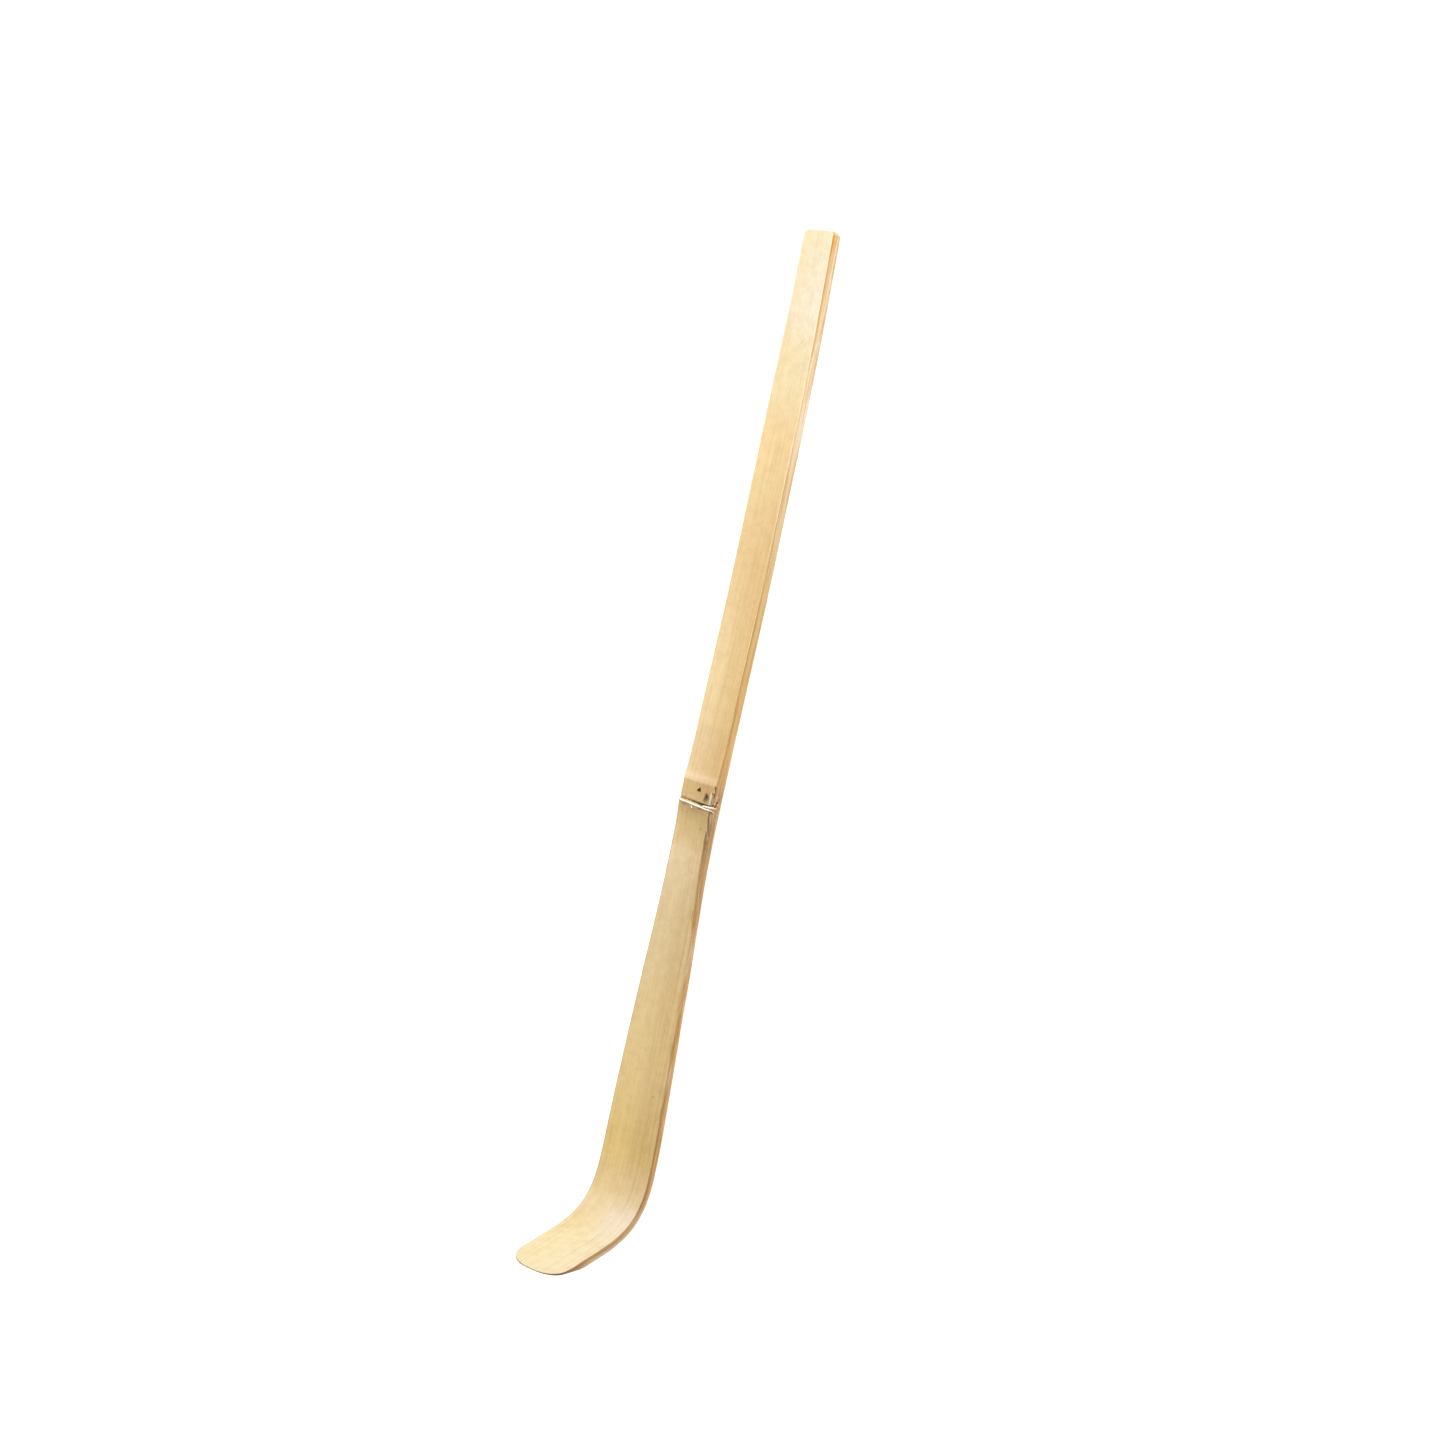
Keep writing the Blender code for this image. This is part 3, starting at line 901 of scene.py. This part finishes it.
skinMarks = (
    # middle (station, across), reach (along, across), colour, raggedness, softness, strength
    ((96.35, -0.40), (0.36, 0.29), (0.016, 0.008, 0.008), 0.12, 0.45, 1.0),
    ((96.62, -0.14), (0.32, 0.28), (0.016, 0.008, 0.008), 0.12, 0.45, 1.0),
    ((96.66, -0.52), (0.28, 0.26), (0.022, 0.010, 0.010), 0.12, 0.5, 1.0),
    ((95.9, -2.0), (0.5, 0.5), (0.44, 0.27, 0.12), 0.4, 0.9, 0.6),
    ((97.5, -2.12), (1.2, 0.72), (0.17, 0.095, 0.04), 0.5, 0.75, 1.0),
    ((97.25, -2.05), (0.52, 0.44), (0.045, 0.020, 0.014), 0.4, 0.6, 1.0),
    ((97.9, -1.75), (0.6, 0.26), (0.10, 0.055, 0.03), 0.5, 0.7, 0.8),
    ((97.5, -2.68), (0.9, 0.10), (0.12, 0.07, 0.035), 0.4, 0.7, 0.8),
    ((96.62, -3.1), (0.12, 0.4), (0.06, 0.03, 0.025), 0.4, 0.6, 0.9),
    # painted shadow of the strand on the skin below it, at -Y and at +Y
    ((99.62, -1.25), (0.22, 0.85), (0.20, 0.10, 0.06), 0.4, 0.8, 0.85),
    ((99.55, 2.0), (0.26, 1.5), (0.26, 0.15, 0.07), 0.4, 0.8, 0.7),
    ((100.1, 0.2), (0.8, 3.4), (0.33, 0.22, 0.11), 0.35, 0.9, 0.6),
    ((101.0, -0.2), (1.6, 3.2), (0.42, 0.31, 0.14), 0.35, 0.9, 0.4),
    ((100.75, 2.3), (0.16, 0.3), (0.25, 0.15, 0.07), 0.4, 0.7, 0.6),
    ((100.8, 1.3), (0.18, 0.26), (0.25, 0.15, 0.07), 0.4, 0.7, 0.6),
    ((102.9, -2.1), (0.26, 0.34), (0.34, 0.19, 0.08), 0.3, 0.7, 0.8),
    ((142.7, 0.6), (0.2, 0.18), (0.40, 0.28, 0.12), 0.3, 0.7, 0.6),
    ((150.0, -2.95), (0.26, 0.22), (0.36, 0.16, 0.05), 0.3, 0.6, 0.8),
    ((161.0, 1.6), (3.4, 1.5), (0.62, 0.42, 0.15), 0.4, 1.0, 0.45),
    ((174.8, -2.2), (0.3, 0.16), (0.62, 0.42, 0.22), 0.4, 0.7, 0.6),
    ((178.6, -4.1), (0.5, 0.22), (0.60, 0.40, 0.22), 0.9, 0.8, 0.5),
    ((187.5, -4.2), (0.28, 0.24), (0.60, 0.38, 0.12), 0.3, 0.6, 0.8),
)
scratches = (
    # start and end as (station, across), half width, strength
    ((3.6, -1.7), (4.7, -1.2), 0.09, 0.5),
    ((17.8, -1.75), (19.9, -0.55), 0.08, 0.45),
    ((18.9, -1.15), (19.3, -0.95), 0.13, 0.9),
)
scratchForm = {"raggedness": 0.25, "softness": 0.6}


# A thin straight mark from start to end on the skin.
def scratchIn(tree, place, start, end, half):
    middle = ((start[0] + end[0]) / 2, (start[1] + end[1]) / 2, 0.0)
    turn = math.atan2(end[1] - start[1], end[0] - start[0])
    offset = vector2(tree, "SUBTRACT", place, middle)
    links = (("Vector", offset), ("Angle", -turn))
    turned = addNode(tree, "ShaderNodeVectorRotate", links, rotation_type="Z_AXIS").outputs[0]
    reach = (math.dist(start, end) / 2, half, markReach["skin"])
    return spotIn(tree, turned, (0.0, 0.0, 0.0), reach, scratchForm["raggedness"], scratchForm["softness"])


# A tint by station, which may be brighter than white, for the painted light and shade across the skin.
def paintedLightIn(tree, along, stops):
    brightest = skin["brightestPaintedLight"]
    dimmed = [(at, [part / brightest for part in tint]) for at, tint in stops]
    return mixed(tree, 1.0, toneIn(tree, along, dimmed), (brightest,) * 3, "MULTIPLY")


def makeSkinFinish():
    finish, tree, shader = newFinish("bambooSkin")
    place, station, across = placeIn(tree)[:3]
    grain = grainIn(tree, place, *skin["grain"])
    # the tones' borders waver a little with the grain
    wavering = math2(tree, "ADD", station, swing(tree, grain["Broad"], skin["waver"]))
    along = math2(tree, "DIVIDE", wavering, stripLength)
    tone = toneIn(tree, along, skin["tones"])
    streaks = ranged(tree, grain["Fine"], *skin["streakStep"])
    tone = mixed(tree, streaks, tone, skin["darkGrain"], "MULTIPLY")
    # thin brown vessels show through the skin of the blade, towards -Y
    vessels = grainIn(tree, place, *skin["vesselGrain"])
    lined = product(
        tree,
        ranged(tree, across, *skin["vesselAcross"]),
        ranged(tree, station, *skin["vesselFrom"]),
        ranged(tree, station, *skin["vesselTo"]),
        ranged(tree, vessels["Fine"], *skin["vesselStep"]),
    )
    tone = mixed(tree, lined, tone, skin["vessels"], "MULTIPLY")
    striped = product(
        tree,
        ranged(tree, grain["Broad"], *skin["stripeStep"]),
        ranged(tree, station, *skin["stripeAlong"]),
    )
    tone = mixed(tree, striped, tone, skin["stripes"], "MULTIPLY")
    clouded = ranged(tree, grain["Cloud"], *skin["cloudStep"])
    tone = mixed(tree, clouded, tone, skin["darkGrain"], "MULTIPLY")
    mottled = ranged(tree, grain["Mottle"], *skin["mottleStep"])
    tone = mixed(tree, mottled, tone, skin["mottle"], "MULTIPLY")
    # painted light and shade across the skin, from -Y to +Y, with a painted highlight at the bend's edge at
    # -Y
    paintedLightPlusY, paintedLightMinusY = (paintedLightIn(tree, along, skin[side]) for side in ("paintedLightAndShadeAtPlusY", "paintedLightAndShadeAtMinusY"))
    tint = mixed(tree, ranged(tree, across, *skin["paintedLightAcross"]), paintedLightMinusY, paintedLightPlusY)
    tone = mixed(tree, 1.0, tone, tint, "MULTIPLY")
    tone = marked(tree, place, tone, skinMarks, False)
    for start, end, half, strength in scratches:
        mask = scratchIn(tree, place, start, end, half)
        tone = mixed(tree, math2(tree, "MULTIPLY", mask, strength), tone, skin["scratch"])
    # on the skin, the crack attribute holds the painted shade in the groove, a dark line
    line = attributeIn(tree, "crack")["Fac"]
    frayed = math2(tree, "ADD", line, swing(tree, grain["Cloud"], skin["grooveFray"]))
    tone = mixed(tree, ranged(tree, frayed, *skin["grooveStep"]), tone, skin["groove"])
    rough = ranged(tree, grain["Fine"], *skin["roughness"])
    setShader(tree, shader, tone, rough, grain["Fine"], skin["grainDepth"], skin["constants"])
    return finish


cut = {
    # tone of the ground between the bundles at (station, colour)
    "tones": (
        (0.0, (0.86, 0.69, 0.44)), (14.0, (0.86, 0.69, 0.44)), (28.0, (0.87, 0.74, 0.55)),
        (45.0, (0.76, 0.57, 0.32)), (60.0, (0.69, 0.48, 0.22)), (80.0, (0.65, 0.42, 0.16)),
        (94.0, (0.62, 0.37, 0.13)), (97.0, (0.50, 0.31, 0.13)), (104.0, (0.47, 0.29, 0.12)),
        (112.0, (0.52, 0.32, 0.13)), (130.0, (0.58, 0.35, 0.13)), (160.0, (0.58, 0.34, 0.13)),
        (175.0, (0.56, 0.38, 0.20)), (184.0, (0.57, 0.40, 0.22)), (191.0, (0.30, 0.15, 0.06)),
    ),
    # tone of the fibre bundles
    "bundles": (
        (0.0, (0.71, 0.29, 0.002)), (16.0, (0.66, 0.29, 0.01)), (30.0, (0.78, 0.50, 0.18)),
        (50.0, (0.55, 0.30, 0.07)), (90.0, (0.46, 0.22, 0.03)), (98.0, (0.34, 0.18, 0.07)),
        (130.0, (0.41, 0.19, 0.03)), (165.0, (0.38, 0.17, 0.03)), (184.0, (0.36, 0.19, 0.08)),
        (191.0, (0.27, 0.13, 0.05)),
    ),
    # tone of the rind's edge under the skin
    "rind": (
        (0.0, (0.90, 0.80, 0.60)), (30.0, (0.84, 0.68, 0.42)), (60.0, (0.72, 0.52, 0.28)),
        (95.0, (0.66, 0.47, 0.24)), (97.0, (0.44, 0.30, 0.15)), (104.0, (0.36, 0.23, 0.10)),
        (125.0, (0.50, 0.35, 0.16)), (165.0, (0.30, 0.18, 0.08)), (185.0, (0.35, 0.21, 0.10)),
        (191.0, (0.24, 0.12, 0.045)),
    ),
    "pith": (0.86, 0.76, 0.58),
    # colour of the painted shade inside the cracks
    "crack": (0.06, 0.035, 0.025),
    "grain": (0.11, 4.0),  # stretch and fineness
    # the cells of the bundles: their frequency, and how they waver
    "cells": (0.075, 2.5, 2.5),
    "waverScale": 1.3,
    "waverDetail": 2.0,
    "waver": (0.0, 0.6, 0.6),
    "coreWeight": 0.75,
    # each smooth step as ranged takes it: its limits, and what it gives at each
    "coreStep": (0.22, 0.5, 1.0, 0.0),
    "outerStep": (0.15, 0.9, 1.0, 0.0),
    "denseStep": (0.32, 0.6),
    "solidDepth": (0.4, 1.0, 0.9, 0.0),
    "solidTo": (12.0, 24.0, 1.0, 0.0),
    "streakStep": (0.5, 0.58),
    "streaksTo": (20.0, 34.0, 0.7, 0.0),
    "paleStep": (0.54, 0.7, 0.0, 0.35),
    "pithStep": (0.86, 1.0, 0.0, 0.6),
    "pithTo": (182.0, 190.0, 1.0, 0.0),
    "rimStep": (0.05, 0.16, 0.85, 0.0),
    "crackStep": (0.15, 0.7, 0.0, 0.92),
    "roughness": (0.3, 0.7, 0.5, 0.7),  # the grain's values, and the roughness at each
    "fibreDepth": 0.00005,  # metres
    "constants": {"Specular IOR Level": 0.25},
}
sideMarks = (
    # on the side at -Y: middle (station, depth), reach (along, deep), colour, raggedness, softness,
    # strength
    ((95.5, 0.12), (0.5, 0.16), (0.20, 0.15, 0.11), 0.3, 0.7, 0.8),
    ((96.3, 0.22), (0.45, 0.14), (0.28, 0.22, 0.18), 0.3, 0.7, 0.8),
    ((96.9, 0.45), (1.2, 0.14), (0.46, 0.20, 0.08), 0.3, 0.8, 0.8),
    ((96.55, 1.25), (0.28, 0.26), (0.24, 0.22, 0.18), 0.4, 0.7, 0.85),
    ((97.2, 0.95), (0.6, 0.3), (0.72, 0.52, 0.32), 0.4, 0.8, 0.7),
    ((97.5, 1.65), (0.35, 0.2), (0.12, 0.07, 0.06), 0.4, 0.7, 0.9),
    ((98.0, 1.35), (0.34, 0.3), (0.30, 0.08, 0.02), 0.4, 0.7, 0.95),
    ((98.05, 1.38), (0.2, 0.18), (0.03, 0.015, 0.012), 0.4, 0.6, 0.95),
    ((98.45, 1.05), (0.24, 0.25), (0.07, 0.03, 0.02), 0.4, 0.6, 0.95),
    ((98.5, 0.2), (0.2, 0.35), (0.05, 0.03, 0.03), 0.3, 0.6, 0.95),
    ((98.35, 1.6), (0.16, 0.16), (0.85, 0.75, 0.58), 0.3, 0.6, 0.9),
    ((98.2, 0.75), (0.4, 0.2), (0.80, 0.62, 0.40), 0.4, 0.7, 0.8),
    ((97.0, 1.9), (1.6, 0.3), (0.36, 0.22, 0.14), 0.3, 0.9, 0.7),
    ((99.1, 1.3), (0.3, 0.4), (0.62, 0.33, 0.11), 0.3, 0.8, 0.9),
    ((99.4, 1.8), (0.5, 0.45), (0.50, 0.26, 0.08), 0.3, 0.8, 0.9),
    ((99.55, 0.35), (0.3, 0.22), (0.05, 0.035, 0.025), 0.4, 0.7, 0.95),
    ((100.3, 1.1), (0.6, 0.35), (0.66, 0.44, 0.26), 0.4, 0.8, 0.7),
    ((100.9, 1.6), (0.6, 0.3), (0.56, 0.30, 0.17), 0.4, 0.8, 0.7),
    ((102.3, 0.8), (0.6, 0.12), (0.24, 0.13, 0.07), 0.4, 0.7, 0.85),
    ((103.5, 0.7), (0.6, 0.12), (0.24, 0.12, 0.06), 0.4, 0.7, 0.85),
)
# The torn fibres along the edge at -Y, below the node.
tear = {
    "from": (99.3, 99.8),
    "to": (102.5, 109.0, 1.0, 0.0),
    "deep": (0.45, 0.8, 1.0, 0.0),
    "side": (-2.0, -1.0, 1.0, 0.0),  # across, so that the side at +Y stays whole
    "grain": (0.3, 5.5),
    "darkStep": (0.46, 0.54, 0.92, 0.0),
    "paleStep": (0.53, 0.6, 0.0, 0.8),
    "dark": (0.17, 0.095, 0.035),
    "pale": (0.78, 0.66, 0.46),
}


def tearIn(tree, place, station, across, depth, tone):
    inside = product(
        tree,
        ranged(tree, station, *tear["from"]),
        ranged(tree, station, *tear["to"]),
        ranged(tree, depth, *tear["deep"]),
        ranged(tree, across, *tear["side"]),
    )
    fibres = grainIn(tree, place, *tear["grain"])["Fine"]
    dark = math2(tree, "MULTIPLY", inside, ranged(tree, fibres, *tear["darkStep"]))
    pale = math2(tree, "MULTIPLY", inside, ranged(tree, fibres, *tear["paleStep"]))
    return mixed(tree, pale, mixed(tree, dark, tone, tear["dark"]), tear["pale"])


# Bundles of fibres: long cells along the culm, dense under the skin and sparse towards the pith.
def bundlesIn(tree, place, station, depth, grain):
    at = vector2(tree, "MULTIPLY", place, cut["cells"])
    waver = noiseIn(tree, at, cut["waverScale"], cut["waverDetail"])["Color"]
    waved = vector2(tree, "ADD", at, vector2(tree, "MULTIPLY", waver, cut["waver"]))
    links = (("Vector", waved), ("Scale", 1.0), ("Randomness", 1.0))
    cells = addNode(tree, "ShaderNodeTexVoronoi", links).outputs["Distance"]
    core = math2(tree, "MULTIPLY", ranged(tree, cells, *cut["coreStep"]), cut["coreWeight"])
    outer = ranged(tree, depth, *cut["outerStep"])
    dense = math2(tree, "MULTIPLY", outer, ranged(tree, grain["Fine"], *cut["denseStep"]))
    # at the handle's end, a solid band under the edge and streaks below it
    solid = product(tree, ranged(tree, depth, *cut["solidDepth"]), ranged(tree, station, *cut["solidTo"]))
    dense = math2(tree, "ADD", dense, solid, clamp=True)
    streaky = product(
        tree,
        ranged(tree, grain["Fine"], *cut["streakStep"]),
        ranged(tree, station, *cut["streaksTo"]),
    )
    return math2(tree, "MAXIMUM", core, math2(tree, "MAXIMUM", dense, streaky), clamp=True)


def makeCutFinish():
    finish, tree, shader = newFinish("cutBamboo")
    place, station, across, depth = placeIn(tree)
    along = math2(tree, "DIVIDE", station, stripLength)
    grain = grainIn(tree, place, *cut["grain"])
    fibres = bundlesIn(tree, place, station, depth, grain)
    tone = mixed(tree, fibres, toneIn(tree, along, cut["tones"]), toneIn(tree, along, cut["bundles"]))
    tone = mixed(tree, ranged(tree, grain["Broad"], *cut["paleStep"]), tone, cut["pith"])
    nearPith = attributeIn(tree, "nearPith")["Fac"]
    pithy = product(tree, ranged(tree, nearPith, *cut["pithStep"]), ranged(tree, station, *cut["pithTo"]))
    tone = mixed(tree, pithy, tone, cut["pith"])
    rim = ranged(tree, depth, *cut["rimStep"])
    tone = mixed(tree, rim, tone, toneIn(tree, along, cut["rind"]))
    tone = tearIn(tree, place, station, across, depth, tone)
    tone = marked(tree, place, tone, sideMarks, True)
    # painted shade inside the cracks
    crack = ranged(tree, attributeIn(tree, "crack")["Fac"], *cut["crackStep"])
    tone = mixed(tree, crack, tone, cut["crack"])
    rough = ranged(tree, grain["Fine"], *cut["roughness"])
    height = math2(tree, "ADD", grain["Fine"], fibres)
    setShader(tree, shader, tone, rough, height, cut["fibreDepth"], cut["constants"])
    return finish


skinFinish = makeSkinFinish()
cutFinish = makeCutFinish()
buildStrip(skinFinish, cutFinish)
print("the carved strip is built")


dry = {
    "grain": (0.9, 9.0),
    "toneStep": (0.35, 0.65),
    "roughStep": (0.3, 0.7),
    "fibreDepth": 0.00004,  # metres
    "constants": {"Specular IOR Level": 0.5},
}


# Dry plant fibre: pale with darker streaks along it.
def makeDryFinish(name, tones, roughness):
    finish, tree, shader = newFinish(name)
    grain = grainIn(tree, attributeIn(tree, "place")["Vector"], *dry["grain"])["Fine"]
    tone = mixed(tree, ranged(tree, grain, *dry["toneStep"]), *tones)
    rough = ranged(tree, grain, *dry["roughStep"], *roughness)
    setShader(tree, shader, tone, rough, grain, dry["fibreDepth"], dry["constants"])
    return finish


remnants = {
    "gap": 0.05,
    "around": 14,  # points
    "ridge": 0.3,
    "ridgesAlong": 0.3,
    "ridgesAround": 2.4,
    "upright": 1e-6,  # a fibre that leans less than this is taken as upright
    "tones": ((0.94, 0.88, 0.78), (0.77, 0.65, 0.52)),
    "roughness": (0.55, 0.7),
}
sheathFinish = makeDryFinish("drySheath", remnants["tones"], remnants["roughness"])


def onSkin(row, v, lift):
    station = stationOf(row, v)
    half = through(widthStops, station) / 2 - strip["edgeRound"]
    return pointAt(station, v * half, faceHeight(row, v) + lift)


# A point a distance out from the side at -Y.
def offSide(row, depth, out):
    station = stationOf(row, -1)
    half = through(widthStops, station) / 2
    return pointAt(station, -(half + out), faceHeight(row, -1) - depth)


# A fibre along a route of points in metres, with a radius at each in millimetres, flattened a little.
def buildFibre(name, node, route, radii, squash, seed):
    shape = bmesh.new()
    placeLayer = shape.verts.layers.float_vector.new("place")
    around, alongRate, aroundRate = (remnants[key] for key in ("around", "ridgesAlong", "ridgesAround"))
    rings, far = [], 0.0
    for i, (at, radius) in enumerate(zip(route, radii)):
        ahead = (route[min(i + 1, len(route) - 1)] - route[max(i - 1, 0)]).normalized()
        beside = ahead.cross(Vector((0, 0, 1)))
        beside = beside.normalized() if beside.length > remnants["upright"] else Vector((1, 0, 0))
        above = beside.cross(ahead)
        if i:
            far += (at - route[i - 1]).length / mm
        ring = []
        for j in range(around):
            turn = 2 * math.pi * j / around
            level, rise = math.cos(turn), math.sin(turn)
            ridged = wander(far * alongRate + seed, level * aroundRate, rise * aroundRate)
            out = (beside * level + above * rise * squash) * radius * (1 + remnants["ridge"] * ridged)
            vert = shape.verts.new(at + out * mm)
            vert[placeLayer] = (far + seed, radius * level, radius * rise)
            ring.append(vert)
        rings.append(ring)
    closeTube(shape, rings)
    addPiece(name, meshFrom(shape, name), (sheathFinish,), "dry_sheath", node)


strand = {
    "radius": 0.145,
    "place": 0.25,  # from the scar's middle
    "steps": 90,
    "sway": ((0.07, 4.0, 3), (0.03, 11.0, 5)),
    # shares of the radius
    "lift": 0.9,
    "lifting": ((0.25, 7, 9),),
    "slimness": 0.8,
    "swelling": 0.25,
    "unevenness": ((0.22, 6, 1),),
    # the end over the edge
    "overEdge": 1.3,
    "endSteps": 9,
    "endSlant": 0.55,
    "endOut": 0.1,
    "endThickness": 0.75,
    "endThinning": 0.55,
    "squash": 0.75,
    "seed": 2.0,
}


# The pale strand along the scar's lip, which ends over the edge at -Y.
def buildStrand():
    row, radius = scarAt + strand["place"], strand["radius"]
    route, radii = [], []
    for t in evenShares(strand["steps"]):
        lift = remnants["gap"] + radius * (strand["lift"] + wavesAlong(strand["lifting"], t))
        route.append(onSkin(row + wavesAlong(strand["sway"], t), 1 - 2 * t, lift))
        swollen = strand["swelling"] * math.sin(math.pi * t)
        radii.append(radius * (strand["slimness"] + swollen + wavesAlong(strand["unevenness"], t)))
    for t in evenShares(strand["endSteps"])[1:]:
        out = strand["endOut"] * (1 + math.sin(math.pi * t))
        route.append(offSide(row + strand["endSlant"] * t, strand["overEdge"] * t, out))
        radii.append(radius * (strand["endThickness"] - strand["endThinning"] * t))
    buildFibre("sheathStrand", "sheath_fibre", route, radii, strand["squash"], strand["seed"])


fork = {
    "radius": 0.13,
    "length": 1.5,
    "spread": 0.12,
    "steps": 16,
    "lift": 0.8,  # of the height that the shoulder stands above it
    "lifting": ((0.02, 4, 2),),
    # shares of the radius
    "rootThickness": 0.7,
    "thickening": 0.7,
    # the end over the edge
    "overEdge": 0.95,
    "endSteps": 9,
    "endSlant": 0.1,
    "endOut": 0.13,
    "endThinning": 0.6,
    "squash": 0.7,
    "seed": 8.0,
}


# The short strand that forks off near the edge and ends on the side.
def buildFork():
    radius = fork["radius"]
    start = scarAt + strand["place"] - strand["radius"] - radius - remnants["gap"]
    route, radii = [], []
    for t in evenShares(fork["steps"]):
        v = -1 + (1 - t) * fork["length"] / (strip["nodeWidth"] / 2)
        row = start - t * fork["spread"]
        over = relief["shoulderHeight"] - nodeRelief(row, v)
        lift = over * fork["lift"] + remnants["gap"] + radius + wavesAlong(fork["lifting"], t)
        route.append(onSkin(row, v, lift))
        radii.append(radius * (fork["rootThickness"] + fork["thickening"] * t))
    thickest = fork["rootThickness"] + fork["thickening"]
    for t in evenShares(fork["endSteps"])[1:]:
        row = start - fork["spread"] + fork["endSlant"] * t
        route.append(offSide(row, fork["overEdge"] * t, fork["endOut"]))
        radii.append(radius * (thickest - fork["endThinning"] * t))
    buildFibre("sheathFork", "sheath_fork", route, radii, fork["squash"], fork["seed"])


curl = {
    "radius": 0.09,
    "place": 0.1,  # of its root, across
    "size": 0.38,
    "turn": math.radians(150),
    "lift": 0.1,
    "steps": 26,
    # shares of the radius
    "rootThickness": 1.15,
    "thinning": 0.6,
    "squash": 0.6,
    "seed": 14.0,
}


# A loose end that curls up from the strand.
def buildCurl():
    radius = curl["radius"]
    start = scarAt + strand["place"] + strand["radius"] + radius + remnants["gap"]
    route, radii = [], []
    for t in evenShares(curl["steps"]):
        turn = curl["turn"] * t
        v = curl["place"] - curl["size"] * (1 - math.cos(turn)) / strip["nodeWidth"]
        lift = remnants["gap"] + radius + curl["lift"] * t
        route.append(onSkin(start + curl["size"] * math.sin(turn), v, lift))
        radii.append(radius * (curl["rootThickness"] - curl["thinning"] * t))
    buildFibre("sheathCurl", "sheath_curl", route, radii, curl["squash"], curl["seed"])


budScale = {
    "length": 2.2,
    "width": 0.55,
    "thickness": 0.15,
    "fromEdge": 0.02,
    "lift": 0.02,
    "steps": 22,
    "around": 14,  # points
    "tipWidth": 0.2,  # of the full width
    "widens": (0.12, 0.3),
    "narrows": (0.7, 1.0),
    "narrowing": 0.3,
    "edgeWaves": ((0.2, 6, 4),),
    "topWaves": ((0.4, 7, 3, 2),),
    "grainStretch": 0.5,
    "tones": ((0.60, 0.55, 0.38), (0.42, 0.36, 0.22)),
    "roughness": (0.5, 0.65),
}
scaleFinish = makeDryFinish("dryBudScale", budScale["tones"], budScale["roughness"])


# The dry scale of the bud beside the node: a torn flake that is narrow at its tip.
def buildBudScale():
    shape = bmesh.new()
    placeLayer = shape.verts.layers.float_vector.new("place")
    length, width, tipWidth, around = (budScale[key] for key in ("length", "width", "tipWidth", "around"))
    edge = through(widthStops, scarAt) / 2 - strip["edgeRound"]
    centre = -(edge - width / 2 - budScale["fromEdge"])
    topRow = scarAt - strip["scarWidth"] / 2 - remnants["gap"] - length
    rings = []
    for t in evenShares(budScale["steps"]):
        row = topRow + t * length
        half = width / 2 * (tipWidth + (1 - tipWidth) * eased(t, *budScale["widens"]))
        half *= 1 - budScale["narrowing"] * eased(t, *budScale["narrows"])
        half *= 1 + wavesAlong(budScale["edgeWaves"], t)
        ring = []
        for j in range(around):
            turn = 2 * math.pi * j / around
            side = half * math.cos(turn)
            rise = budScale["thickness"] / 2 * (1 + math.sin(turn))
            rise *= 1 + wavesOver(budScale["topWaves"], side, t)
            v = (centre + side) / (through(widthStops, row) / 2 - strip["edgeRound"])
            height = faceHeight(row, v) + budScale["lift"] + rise
            vert = shape.verts.new(pointAt(stationOf(row, v), centre + side, height))
            vert[placeLayer] = (t * length * budScale["grainStretch"], side, rise)
            ring.append(vert)
        rings.append(ring)
    closeTube(shape, rings)
    addPiece("budScale", meshFrom(shape, "budScale"), (scaleFinish,), "dry_bud_scale", "bud_scale")


buildStrand()
buildFork()
buildCurl()
buildBudScale()
print("the sheath's remnants and the bud scale are built")
